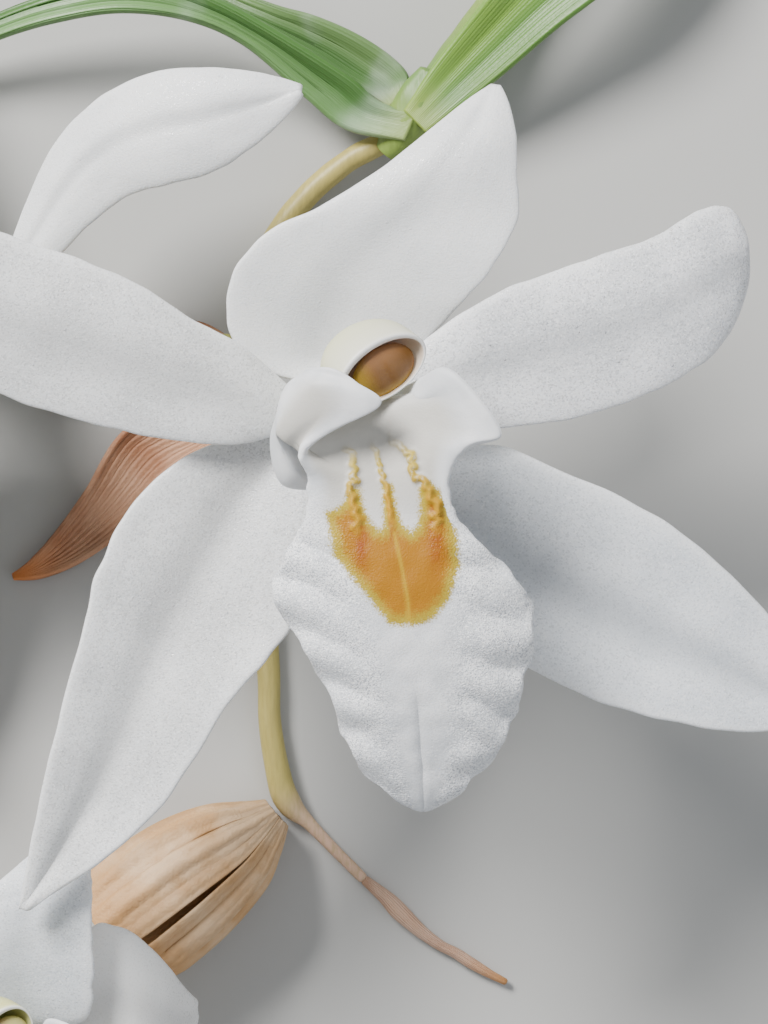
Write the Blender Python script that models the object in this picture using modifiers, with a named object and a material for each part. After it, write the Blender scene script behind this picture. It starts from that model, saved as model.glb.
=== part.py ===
"""Cut flowering shoot of a coelogyne orchid, lying on a surface with its blooms facing up.

Every length below is in millimetres. +Z is up, +Y runs along the stalk towards the leaves, and the origin is the
small flat under the flower stalk where the main bloom's pedicel leaves it.
"""

import math

import bmesh
import bpy
from mathutils import Matrix, Vector

MM = 0.001
TEPAL_THICK = 0.7
LIP_THICK = 0.7
LEAF_THICK = 0.8
BRACT_THICK = 0.6
RECEPTACLE_RADIUS = 2.2
STALK_RADIUS = 1.05
STALK_HEIGHT = 0.9

# Stations of a blade, base to tip: left edge x, y, z, right edge x, y, z, and how far its middle stands
# above the line between them. The frame is the bloom's own, with z towards whoever looks into the bloom.
DORSAL_SEPAL = (
    (-2.6, 2.4, 0.0, 2.4, 2.9, 0.0, 0.0),
    (-5.4, 3.2, 0.1, 4.6, 3.8, 0.0, -0.3),
    (-7.7, 5.2, 0.4, 7.0, 4.8, 0.2, -0.6),
    (-8.4, 8.2, 0.9, 9.0, 6.8, 0.8, -0.7),
    (-7.6, 11.8, 1.5, 11.2, 9.2, 2.0, -0.5),
    (-4.6, 14.6, 2.0, 13.5, 12.0, 2.9, -0.1),
    (-0.6, 16.6, 2.3, 15.3, 15.6, 3.0, 0.4),
    (3.9, 19.3, 2.4, 15.1, 18.8, 3.3, 0.7),
    (7.6, 22.2, 2.1, 15.1, 21.8, 3.2, 0.7),
    (10.8, 24.8, 1.6, 14.6, 24.5, 2.4, 0.4),
    (13.1, 26.5, 1.2, 13.9, 26.3, 1.4, 0.0),
)
PETAL_LEFT = (
    (-2.7, 1.3, 1.3, -2.8, -1.3, 1.3, 0.0),
    (-4.8, 3.2, 1.8, -4.9, -2.2, 1.6, 0.4),
    (-7.6, 5.5, 2.6, -7.6, -2.8, 2.0, 0.6),
    (-11.2, 7.3, 3.2, -11.0, -2.7, 2.5, 0.7),
    (-15.0, 9.8, 3.7, -15.2, -2.0, 3.0, 0.7),
    (-19.5, 11.8, 4.2, -19.8, -1.0, 3.5, 0.7),
    (-24.0, 13.3, 4.8, -24.8, 0.5, 4.0, 0.6),
    (-28.4, 14.8, 5.3, -29.2, 2.7, 4.6, 0.5),
    (-31.9, 14.8, 5.6, -32.4, 5.2, 5.1, 0.3),
    (-34.0, 13.2, 5.7, -34.3, 8.0, 5.4, 0.2),
    (-34.9, 11.2, 5.7, -34.9, 10.2, 5.6, 0.0),
)
PETAL_RIGHT = (
    (2.8, 1.4, 1.3, 2.8, -1.2, 1.3, 0.0),
    (5.0, 3.2, 1.9, 5.2, -1.8, 1.5, 0.4),
    (8.6, 6.3, 2.5, 8.8, -1.9, 1.8, 0.6),
    (13.0, 9.1, 2.7, 13.2, -1.5, 2.2, 0.7),
    (17.7, 11.0, 2.7, 18.0, -1.0, 2.6, 0.9),
    (22.3, 12.6, 2.7, 23.0, 0.2, 2.8, 1.0),
    (26.4, 14.0, 2.5, 27.6, 2.2, 2.8, 1.1),
    (29.8, 16.1, 2.0, 30.7, 4.2, 2.7, 1.2),
    (32.2, 16.5, 1.2, 32.6, 6.6, 2.2, 1.1),
    (33.4, 15.0, 0.9, 33.7, 9.6, 1.5, 0.7),
    (33.9, 13.0, 1.0, 33.9, 12.0, 1.1, 0.0),
)
LATERAL_LEFT = (
    (-2.7, -1.2, 0.0, -0.9, -2.8, 0.0, 0.0),
    (-6.0, -1.9, 0.1, -1.2, -5.6, 0.1, -0.2),
    (-10.2, -3.0, 0.4, -1.4, -9.4, 0.3, -0.6),
    (-14.0, -5.4, 0.9, -1.9, -13.4, 0.6, -0.9),
    (-16.9, -8.9, 1.3, -2.9, -17.2, 0.8, -1.1),
    (-18.9, -13.2, 1.4, -5.2, -20.4, 0.9, -1.2),
    (-20.1, -18.0, 1.2, -8.2, -23.8, 0.8, -1.1),
    (-21.6, -23.4, 0.8, -10.8, -28.0, 0.5, -1.0),
    (-23.0, -28.8, 0.2, -14.2, -32.8, 0.0, -0.8),
    (-24.2, -34.0, -0.6, -18.6, -36.8, -0.7, -0.5),
    (-25.1, -38.4, -1.4, -22.4, -39.4, -1.5, -0.2),
    (-25.6, -40.9, -2.0, -24.9, -41.0, -2.0, 0.0),
)
LATERAL_RIGHT = (
    (2.8, -1.1, 0.0, 0.9, -2.8, 0.0, 0.0),
    (6.0, -2.0, 0.1, 2.0, -5.6, 0.1, -0.2),
    (10.2, -2.7, 0.2, 4.4, -9.4, 0.3, -0.6),
    (14.4, -3.0, 0.3, 7.6, -13.4, 0.7, -0.9),
    (18.6, -4.8, 0.4, 11.4, -17.2, 1.0, -1.1),
    (22.6, -6.5, 0.4, 15.6, -20.6, 1.1, -1.1),
    (26.4, -8.5, 0.3, 19.6, -22.7, 1.0, -1.0),
    (30.0, -11.0, 0.0, 24.0, -24.4, 0.7, -0.9),
    (33.4, -14.0, -0.5, 28.8, -25.6, 0.2, -0.7),
    (36.6, -17.6, -1.2, 33.4, -26.3, -0.6, -0.5),
    (39.0, -21.4, -1.9, 37.4, -26.1, -1.5, -0.2),
    (40.2, -24.4, -2.4, 39.9, -25.2, -2.3, 0.0),
)
# The upper dorsal sepal, the lower dorsal sepal and the lower right petal grew bent in their own ways.
UPPER_DORSAL_SEPAL = (
    (2.3, 1.9, 1.3, 2.9, -0.3, 1.3, 0.0),
    (3.6, 5.2, 1.6, 5.2, 2.0, 1.6, 0.3),
    (5.4, 9.8, 2.1, 8.1, 4.7, 2.0, 0.6),
    (7.7, 14.2, 2.6, 11.7, 8.0, 2.4, 0.9),
    (11.3, 17.7, 3.0, 14.9, 10.0, 2.6, 1.1),
    (15.9, 19.9, 3.2, 18.3, 10.8, 2.6, 1.2),
    (20.3, 20.4, 3.2, 22.0, 11.8, 2.5, 1.1),
    (24.3, 20.1, 3.0, 25.4, 13.9, 2.4, 0.8),
    (27.3, 19.5, 2.6, 28.0, 16.1, 2.3, 0.4),
    (29.3, 18.8, 2.2, 29.5, 18.0, 2.2, 0.0),
)
LOWER_DORSAL_SEPAL = (
    (-2.4, 2.6, 1.4, 2.6, 2.8, 1.4, 0.0),
    (-5.4, 4.6, 2.2, 6.4, 3.6, 2.2, 0.3),
    (-6.4, 8.5, 2.9, 7.4, 7.4, 2.9, 0.5),
    (-4.8, 12.0, 3.0, 7.5, 11.8, 3.0, 0.5),
    (-1.6, 14.4, 2.6, 7.5, 14.8, 2.6, 0.4),
    (1.4, 16.8, 1.8, 7.0, 17.0, 1.8, 0.2),
    (4.2, 19.2, 0.8, 5.2, 19.4, 0.8, 0.0),
)
LOWER_PETAL_RIGHT = (
    (2.9, 0.9, 0.0, 2.8, -1.2, 0.0, 0.0),
    (4.6, 5.4, 0.0, 5.0, -1.8, 0.2, 0.2),
    (6.4, 10.6, -0.6, 7.8, -2.4, -0.4, 0.5),
    (9.2, 10.2, -1.7, 10.2, -2.9, -1.7, 0.7),
    (11.4, 6.8, -4.4, 11.6, -3.0, -4.4, 0.7),
    (12.4, 3.4, -7.6, 12.4, -2.4, -7.6, 0.4),
    (12.8, 1.2, -10.6, 12.8, -0.4, -10.6, 0.0),
)

# Rows of the lip, base to tip, each from its left margin over the floor to its right margin.
LIP = (
    ((-1.9, -1.4, 3.2), (-1.5, -1.9, 2.9), (-0.8, -2.3, 2.7), (0.0, -2.4, 2.6),
     (0.8, -2.3, 2.7), (1.5, -1.9, 2.9), (1.9, -1.4, 3.2)),
    ((-3.1, 0.2, 5.8), (-4.5, -2.6, 5.8), (-3.7, -6.0, 5.2), (-0.2, -6.0, 3.9),
     (2.6, -5.0, 4.2), (3.9, -2.2, 5.0), (3.4, 0.2, 5.8)),
    ((-2.3, 2.6, 10.6), (-4.3, -1.4, 9.0), (-2.7, -5.1, 10.3), (0.2, -6.0, 7.4),
     (3.6, -4.2, 7.4), (5.4, -1.2, 9.4), (6.9, 1.9, 11.4)),
    ((-0.6, 3.0, 15.2), (-3.4, 1.4, 12.6), (-3.6, -3.2, 12.2), (1.4, -2.4, 8.8),
     (4.7, -0.8, 10.0), (7.1, 0.5, 12.0), (9.2, 3.0, 13.4)),
    ((2.3, 1.7, 16.3), (-1.6, 1.6, 15.4), (-3.9, -2.4, 13.2), (2.4, -0.2, 10.6),
     (5.5, 0.1, 11.6), (8.6, 0.6, 12.8), (11.4, 1.2, 14.4)),
    ((4.0, -0.2, 16.4), (0.0, -0.2, 15.8), (-3.3, -2.9, 13.7), (3.0, -1.8, 11.7),
     (5.8, -1.6, 12.0), (9.4, -1.8, 13.2), (13.6, -2.3, 14.2)),
    ((-2.0, -3.1, 14.7), (-2.2, -3.4, 14.0), (-1.6, -3.8, 12.9), (3.6, -3.8, 12.0),
     (6.2, -3.8, 12.3), (8.6, -3.6, 13.2), (10.8, -3.5, 13.8)),
    ((-1.6, -5.4, 12.9), (0.0, -5.6, 12.8), (1.8, -5.8, 12.5), (4.2, -6.2, 12.4),
     (6.4, -6.0, 12.6), (8.2, -5.8, 12.9), (9.6, -5.6, 13.1)),
    ((-1.8, -8.6, 12.4), (0.1, -8.9, 12.6), (2.4, -9.1, 12.8), (4.9, -9.3, 12.8),
     (7.1, -9.2, 12.8), (8.8, -9.1, 12.7), (10.2, -8.8, 12.5)),
    ((-3.4, -12.0, 11.8), (-0.5, -12.1, 12.6), (2.4, -12.2, 13.1), (5.6, -12.4, 13.2),
     (8.4, -12.2, 13.1), (10.6, -12.0, 12.7), (12.9, -11.7, 11.9)),
    ((-4.3, -14.6, 11.2), (-0.9, -15.0, 12.4), (2.6, -15.4, 13.0), (6.1, -15.6, 13.2),
     (9.4, -15.4, 13.0), (12.6, -15.0, 12.4), (15.7, -14.7, 11.2)),
    ((-2.2, -18.4, 10.9), (0.6, -18.6, 12.1), (3.4, -18.8, 12.6), (6.4, -19.0, 12.7),
     (9.6, -18.8, 12.6), (12.9, -18.6, 12.1), (16.1, -18.4, 10.9)),
    ((0.1, -22.4, 10.2), (2.3, -22.6, 11.2), (4.5, -22.8, 11.6), (6.8, -23.0, 11.6),
     (9.5, -22.8, 11.6), (12.4, -22.6, 11.2), (15.2, -22.4, 10.2)),
    ((1.4, -26.2, 9.2), (3.3, -26.4, 10.0), (5.2, -26.6, 10.2), (7.1, -26.8, 10.2),
     (9.4, -26.6, 10.2), (11.6, -26.4, 10.0), (13.9, -26.2, 9.2)),
    ((3.6, -29.5, 8.1), (4.9, -29.7, 8.5), (6.2, -29.9, 8.6), (7.4, -30.0, 8.6),
     (8.7, -29.9, 8.6), (10.0, -29.7, 8.5), (11.3, -29.5, 8.1)),
    ((6.7, -31.5, 7.1), (6.95, -31.7, 7.1), (7.2, -31.9, 7.1), (7.5, -32.0, 7.1),
     (7.8, -31.9, 7.1), (8.05, -31.7, 7.1), (8.3, -31.5, 7.1)),
)
LIP_WAVES = 7
LIP_WAVE_HEIGHT = 0.45
CREST_HEIGHT = 0.8
CREST_WIDTH = 0.11
CREST_PLACES = (-0.36, 0.03, 0.6)

# Rings of the column, base to rim and back into its hollow: centre x, y, z, half width, half depth and lean.
COLUMN_RINGS = (
    (0.2, 0.5, 2.1, 1.5, 1.4, 0.0),
    (0.9, 1.6, 5.0, 1.5, 1.3, 0.1),
    (1.8, 3.0, 8.0, 1.9, 1.5, 0.3),
    (2.4, 4.0, 10.2, 3.0, 2.3, 0.5),
    (2.9, 4.3, 12.0, 3.8, 2.7, 0.8),
    (4.3, 3.2, 13.8, 3.9, 2.2, 1.0),
    (4.4, 3.1, 13.6, 3.4, 1.8, 1.0),
    (3.8, 3.6, 12.4, 2.9, 1.8, 0.9),
    (3.4, 3.8, 11.5, 2.0, 1.3, 0.7),
)
COLUMN_RIM_TURN = math.radians(30)
COLUMN_RIM_FACING = Vector((0.35, -0.35, 0.87))
ANTHER_PLACE = (4.2, 3.3, 13.1)
ANTHER_RADII = (2.1, 1.4, 0.7)

# Leaves, in the frame of the whole shoot.
LEAF_LEFT = (
    (13.0, 26.8, 4.0, 12.2, 24.9, 4.0, 0.0),
    (11.6, 28.4, 4.6, 8.8, 26.1, 4.4, -0.7),
    (9.0, 30.5, 5.6, 5.1, 28.9, 5.2, -0.9),
    (2.8, 34.2, 7.2, 0.0, 33.1, 6.8, -0.8),
    (-2.1, 36.8, 8.0, -4.8, 35.1, 7.8, -0.7),
    (-7.4, 38.6, 8.0, -10.6, 35.7, 8.0, -0.5),
    (-14.4, 38.0, 7.0, -16.1, 35.0, 7.2, -0.4),
    (-21.3, 36.0, 5.4, -21.5, 33.6, 5.6, -0.3),
    (-28.3, 32.6, 3.2, -27.8, 31.0, 3.3, -0.2),
    (-34.4, 27.9, 0.5, -34.0, 27.3, 0.5, 0.0),
)
LEAF_BACK = (
    (13.95, 29.4, 2.4, 12.5, 28.1, 2.3, 0.0),
    (14.2, 30.9, 2.6, 10.6, 29.3, 2.3, -0.5),
    (12.6, 32.6, 2.9, 8.2, 30.6, 2.5, -0.8),
    (9.7, 34.4, 3.4, 5.7, 32.2, 3.0, -0.8),
    (6.2, 35.9, 3.7, 3.1, 33.6, 3.4, -0.7),
    (2.8, 36.9, 3.6, 0.6, 35.0, 3.4, -0.5),
    (-1.3, 38.6, 2.9, -2.6, 36.8, 2.8, -0.4),
    (-5.6, 41.3, 1.9, -6.5, 40.0, 1.8, -0.2),
    (-10.8, 44.7, 0.5, -11.1, 44.3, 0.5, 0.0),
)
LEAF_RIGHT = (
    (15.6, 28.9, 5.3, 17.4, 27.2, 5.3, 0.0),
    (16.2, 31.2, 5.6, 19.4, 28.3, 5.6, -0.6),
    (18.9, 34.6, 6.6, 22.4, 30.6, 6.6, -1.0),
    (21.9, 38.2, 8.0, 27.0, 34.4, 8.0, -1.3),
    (25.0, 42.0, 8.9, 31.8, 38.0, 8.9, -1.5),
    (28.9, 46.4, 8.6, 36.3, 42.4, 8.6, -1.4),
    (34.0, 51.4, 6.6, 40.7, 48.0, 6.6, -1.0),
    (40.5, 56.1, 3.6, 44.8, 53.9, 3.6, -0.5),
    (46.0, 59.0, 0.5, 46.5, 58.5, 0.5, 0.0),
)
LEAF_PLEATS = 3
LEAF_PLEAT_HEIGHT = 0.25

# Stalks: each point is x, y, z and radius.
FLOWER_STALK = (
    (15.1, 27.7, 2.2, 1.0),
    (12.6, 25.5, 2.0, 1.0),
    (8.2, 23.0, 1.6, 1.0),
    (3.9, 18.8, 1.2, 1.05),
    (1.1, 13.6, STALK_HEIGHT, 1.05),
    (0.0, 7.6, STALK_HEIGHT, 1.2),
    (-0.2, 4.0, STALK_HEIGHT, STALK_RADIUS),
    (0.0, 0.0, STALK_HEIGHT, 1.25),
    (0.3, -4.0, STALK_HEIGHT, STALK_RADIUS),
    (0.9, -9.7, STALK_HEIGHT, STALK_RADIUS),
    (1.9, -19.5, STALK_HEIGHT, 1.0),
    (2.1, -25.6, STALK_HEIGHT, 1.0),
    (2.9, -30.6, STALK_HEIGHT, 1.1),
    (3.8, -32.8, STALK_HEIGHT, 1.1),
    (5.6, -34.6, 0.8, 0.6),
    (8.2, -37.3, 0.7, 0.5),
    (10.4, -39.5, 0.7, 0.45),
)
STEM_STUB = (
    (31.6, 48.4, 2.1, 2.1),
    (27.0, 42.6, 2.2, 2.2),
    (21.6, 35.8, 2.3, 2.2),
    (17.8, 31.0, 2.4, 2.0),
    (15.4, 28.0, 2.4, 1.6),
)

# Bracts: each station is x, y, z, half width, depth, and how far round the section wraps, in degrees.
MAIN_BRACT = (
    (-1.7, -0.4, 1.3, 0.8, 0.4, 70),
    (-4.6, -0.6, 1.9, 2.4, 1.2, 75),
    (-8.3, -2.4, 2.1, 3.3, 1.5, 80),
    (-12.0, -6.8, 2.0, 2.5, 1.3, 80),
    (-15.5, -10.2, 1.7, 1.7, 0.9, 75),
    (-18.3, -12.1, 1.2, 1.0, 0.5, 60),
    (-20.5, -12.9, 0.8, 0.4, 0.2, 40),
)
UPPER_BRACT = (
    (-1.7, 7.4, 1.3, 0.8, 0.4, 70),
    (-4.4, 7.3, 1.9, 2.2, 1.2, 80),
    (-8.0, 6.5, 2.1, 2.5, 1.4, 85),
    (-12.0, 5.0, 2.0, 2.2, 1.2, 80),
    (-15.6, 3.3, 1.5, 1.3, 0.7, 70),
    (-18.0, 2.3, 0.9, 0.5, 0.2, 40),
)
LOWER_BRACT = (
    (2.6, -33.6, 1.9, 1.3, 1.3, 160),
    (1.2, -34.8, 2.8, 2.5, 2.2, 173),
    (-0.9, -36.4, 3.7, 4.0, 3.1, 175),
    (-4.6, -39.0, 4.2, 5.1, 3.6, 175),
    (-8.8, -42.2, 4.3, 5.4, 3.7, 173),
    (-11.4, -44.3, 4.2, 5.0, 3.6, 170),
)
# The withered bract is rolled up, so its stations are x, y, z and radius.
TAIL_BRACT = (
    (10.7, -39.8, 0.75, 0.40),
    (12.1, -40.9, 0.75, 0.65),
    (13.4, -42.2, 0.80, 0.78),
    (15.2, -43.9, 0.75, 0.62),
    (17.0, -45.2, 0.70, 0.45),
    (18.4, -45.9, 0.70, 0.45),
    (19.8, -46.8, 0.70, 0.48),
    (21.5, -47.8, 0.65, 0.36),
    (22.9, -48.5, 0.60, 0.25),
)
LOWER_BRACT_ROLL = math.radians(-18)
BRACT_RIBS = 5
BRACT_RIB_HEIGHT = 0.12

# Each bloom: base x, y, z and its tilt about X and Y, in degrees.
MAIN_BLOOM = ((7.7, 1.1, 24.0), 0.0, 0.0)
UPPER_BLOOM = ((-22.7, 9.3, 11.0), 0.0, -20.0)
LOWER_BLOOM = ((-18.6, -52.6, 13.0), 10.0, -10.0)
OVARY_LENGTH = 5.0
PEDICEL_NECK = 4.0
PEDICEL_SLANT = 0.25
RECEPTACLE_DEPTH = 1.6


def smooth(rows, t):
    """The row at t from 0 to 1 on a smooth curve through all the rows."""
    last = len(rows) - 1
    i = min(int(t * last), last - 1)
    f = t * last - i
    before, start, end, after = (rows[min(max(i + k, 0), last)] for k in (-1, 0, 1, 2))
    return tuple(
        0.5 * (2 * b + (c - a) * f + (2 * a - 5 * b + 4 * c - d) * f * f + (3 * b - a - 3 * c + d) * f ** 3)
        for a, b, c, d in zip(before, start, end, after)
    )


def material(name, colour, roughness):
    made = bpy.data.materials.new(name)
    made.use_nodes = True
    shader = made.node_tree.nodes["Principled BSDF"]
    shader.inputs["Base Color"].default_value = (*colour, 1.0)
    shader.inputs["Roughness"].default_value = roughness
    shader.inputs["Metallic"].default_value = 0.0
    return made


def add_object(name, bm, place, look, collection):
    mesh = bpy.data.meshes.new(name)
    bm.to_mesh(mesh)
    bm.free()
    mesh.shade_smooth()
    mesh.materials.append(look)
    made = bpy.data.objects.new(name, mesh)
    made.matrix_world = place
    collection.objects.link(made)
    return made


def sheet(name, surface, cells, thick, look, collection, place=Matrix(), offset=0.0):
    """A thin blade: a grid on surface(u, v), u from base to tip and v from -1 to 1, given its thickness."""
    bm = bmesh.new()
    bmesh.ops.create_grid(bm, x_segments=cells[0], y_segments=cells[1], size=0.5)
    for vertex in bm.verts:
        vertex.co = surface(vertex.co.x + 0.5, 2 * vertex.co.y) * MM
    bmesh.ops.triangulate(bm, faces=bm.faces, quad_method="FIXED")
    made = add_object(name, bm, place, look, collection)
    solidify = made.modifiers.new("Thickness", "SOLIDIFY")
    solidify.thickness = thick * MM
    solidify.offset = offset
    return made


def blade(stations, lift=0.0, pleats=0, pleat_height=0.0):
    """The surface of a tepal or a leaf between its two edges, lifted towards its tip and pleated if asked."""
    def surface(u, v):
        row = smooth(stations, u)
        left, right, middle = Vector(row[0:3]), Vector(row[3:6]), row[6]
        point = left.lerp(right, (v + 1) / 2)
        fade = min(1.0, 4 * u, 4 * (1 - u))
        point.z += middle * (1 - v * v) + lift * math.hypot(point.x, point.y)
        point.z += pleat_height * fade * math.cos(math.pi * pleats * v) * (pleats > 0)
        return point
    return surface


def channel(stations, roll=0.0):
    """The surface of a bract: a ribbed trough or nearly closed tube round its centre line."""
    def surface(u, v):
        x, y, z, half_width, depth, wrap = smooth(stations, u)
        ahead = Vector(smooth(stations, min(u + 0.02, 1.0))[0:3])
        behind = Vector(smooth(stations, max(u - 0.02, 0.0))[0:3])
        along = ahead - behind
        side = Vector((-along.y, along.x, 0.0)).normalized()
        angle = math.radians(wrap) * v + roll
        fade = min(1.0, 5 * u, 5 * (1 - u)) / 2
        rib = 1 + BRACT_RIB_HEIGHT * math.cos(2 * math.pi * BRACT_RIBS * v) * fade
        sideways = side * (half_width * rib * math.sin(angle))
        return Vector((x, y, z - depth * rib * math.cos(angle))) + sideways
    return surface


def lip_surface(u, v):
    """The lip: its rows are its side lobes and its mid lobe, waved along the margin of the mid lobe."""
    rows = [smooth(row, (v + 1) / 2) for row in LIP]
    point = Vector(smooth(rows, u))
    free = min(1.0, max(0.0, (u - 0.52) * 8)) * min(1.0, (1 - u) * 8)
    point.z += LIP_WAVE_HEIGHT * free * v ** 4 * math.sin(2 * math.pi * LIP_WAVES * (u - 0.5) * 2 + v)
    return point


def crest_weight(u, v):
    """How much thicker the lip is at u, v: 1 on the top of a crest, 0 away from all three."""
    along = min(1.0, max(0.0, (u - 0.16) * 8)) * min(1.0, max(0.0, (0.74 - u) * 9))
    across = max(math.exp(-(((v - place) / CREST_WIDTH) ** 2)) for place in CREST_PLACES)
    return along * across


def lip(name, cells, look, collection, place):
    """The lip as one sheet whose front face stands up in three crests."""
    made = sheet(name, lip_surface, cells, LIP_THICK + CREST_HEIGHT, look, collection, place, 1.0)
    group = made.vertex_groups.new(name="crests")
    least = LIP_THICK / (LIP_THICK + CREST_HEIGHT)
    rows, columns = cells[0] + 1, cells[1] + 1
    for vertex in made.data.vertices:
        across, along = divmod(vertex.index, rows)
        weight = crest_weight(along / (rows - 1), 2 * across / (columns - 1) - 1)
        group.add([vertex.index], least + (1 - least) * weight, "REPLACE")
    solidify = made.modifiers["Thickness"]
    solidify.vertex_group = "crests"
    return made


def stalk(name, points, sides, look, collection, steps=4):
    """A round stem along a smooth curve through points, with flat ends, made a mesh and set down on z = 0."""
    curve = bpy.data.curves.new(name, "CURVE")
    curve.dimensions = "3D"
    curve.bevel_depth = MM
    curve.bevel_resolution = sides // 2 - 2
    curve.use_fill_caps = True
    spline = curve.splines.new("POLY")
    count = (len(points) - 1) * steps
    spline.points.add(count)
    for i, point in enumerate(spline.points):
        x, y, z, radius = smooth(points, i / count)
        point.co = (x * MM, y * MM, z * MM, 1.0)
        point.radius = radius
    guide = bpy.data.objects.new(name + "_guide", curve)
    bpy.context.scene.collection.objects.link(guide)
    bpy.context.view_layer.update()
    mesh = bpy.data.meshes.new_from_object(guide.evaluated_get(bpy.context.evaluated_depsgraph_get()))
    bm = bmesh.new()
    bm.from_mesh(mesh)
    bpy.data.objects.remove(guide)
    bpy.data.meshes.remove(mesh)
    bmesh.ops.remove_doubles(bm, verts=bm.verts, dist=1e-6)
    for vertex in bm.verts:
        vertex.co.z = max(vertex.co.z, 0.0)
    bmesh.ops.triangulate(bm, faces=bm.faces)
    bmesh.ops.recalc_face_normals(bm, faces=bm.faces)
    return add_object(name, bm, Matrix(), look, collection)


def rim_frame(lean):
    """The wide, deep and facing directions of a ring that leans this far towards the rim's facing."""
    facing = Vector((0, 0, 1)).lerp(COLUMN_RIM_FACING, lean).normalized()
    wide = Vector((math.cos(COLUMN_RIM_TURN), math.sin(COLUMN_RIM_TURN), 0.0))
    wide = (wide - facing * wide.dot(facing)).normalized()
    return wide, facing.cross(wide), facing


def column(name, sides, look, collection, place):
    """The column: rings from its foot to the rim of its hood, then back into the hollow under the hood."""
    bm = bmesh.new()
    loops = []
    turns = [2 * math.pi * k / sides for k in range(sides)]
    for x, y, z, half_width, half_depth, lean in COLUMN_RINGS:
        wide, deep, _ = rim_frame(lean)
        centre = Vector((x, y, z))
        points = [centre + wide * half_width * math.cos(a) + deep * half_depth * math.sin(a) for a in turns]
        loops.append([bm.verts.new(point * MM) for point in points])
    for low, high in zip(loops, loops[1:]):
        for k in range(sides):
            bm.faces.new((low[k], low[(k + 1) % sides], high[(k + 1) % sides], high[k]))
    bm.faces.new(loops[0])
    bm.faces.new(loops[-1])
    bmesh.ops.triangulate(bm, faces=bm.faces)
    bmesh.ops.recalc_face_normals(bm, faces=bm.faces)
    return add_object(name, bm, place, look, collection)


def anther_cap(name, look, collection, place):
    """The rounded cap that lies in the hollow of the hood, a stretched sphere facing the way its rim does."""
    bm = bmesh.new()
    bmesh.ops.create_uvsphere(bm, u_segments=10, v_segments=6, radius=1.0)
    axes = rim_frame(1.0)
    for vertex in bm.verts:
        spread = Vector()
        for axis, radius, part in zip(axes, ANTHER_RADII, vertex.co):
            spread += axis * radius * part
        vertex.co = (Vector(ANTHER_PLACE) + spread) * MM
    bmesh.ops.triangulate(bm, faces=bm.faces)
    return add_object(name, bm, place, look, collection)


def bloom_place(where):
    base, tilt_x, tilt_y = where
    tilt = Matrix.Rotation(math.radians(tilt_y), 4, "Y") @ Matrix.Rotation(math.radians(tilt_x), 4, "X")
    return Matrix.Translation(Vector(base) * MM) @ tilt


def pedicel(name, start, bend, where, look, collection):
    """The pedicel and ovary: up from the stalk, then swelling under the bloom along the bloom's own axis."""
    base, facing = Vector(where[0]), bloom_place(where).to_3x3() @ Vector((0, 0, 1))
    low = base - facing * (OVARY_LENGTH + PEDICEL_NECK)
    low.xy = low.xy.lerp(Vector(bend).xy, PEDICEL_SLANT)
    points = (
        (*start, 0.8),
        (*bend, 0.75),
        (*low, 1.0),
        (*(base - facing * OVARY_LENGTH), 1.6),
        (*(base - facing * RECEPTACLE_DEPTH), RECEPTACLE_RADIUS),
        (*(base + facing * RECEPTACLE_DEPTH), RECEPTACLE_RADIUS - 0.3),
    )
    return stalk(name, points, 10, look, collection, 3)


def bloom(prefix, where, tepals, cells, lip_cells, lip_turn, looks, collection):
    """One bloom: five tepals, the lip, the column and its anther cap, about the base and tilt given."""
    place = bloom_place(where)
    for piece, (stations, turn, lift) in tepals.items():
        turned = place @ Matrix.Rotation(math.radians(turn), 4, "Z")
        surface = blade(stations, lift)
        sheet(f"{prefix}_{piece}", surface, cells, TEPAL_THICK, looks["tepal"], collection, turned)
    turned = place @ Matrix.Rotation(math.radians(lip_turn), 4, "Z")
    lip(f"{prefix}_lip", lip_cells, looks["lip"], collection, turned)
    column(f"{prefix}_column", 12, looks["column"], collection, turned)
    anther_cap(f"{prefix}_anther_cap", looks["anther"], collection, turned)


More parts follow.
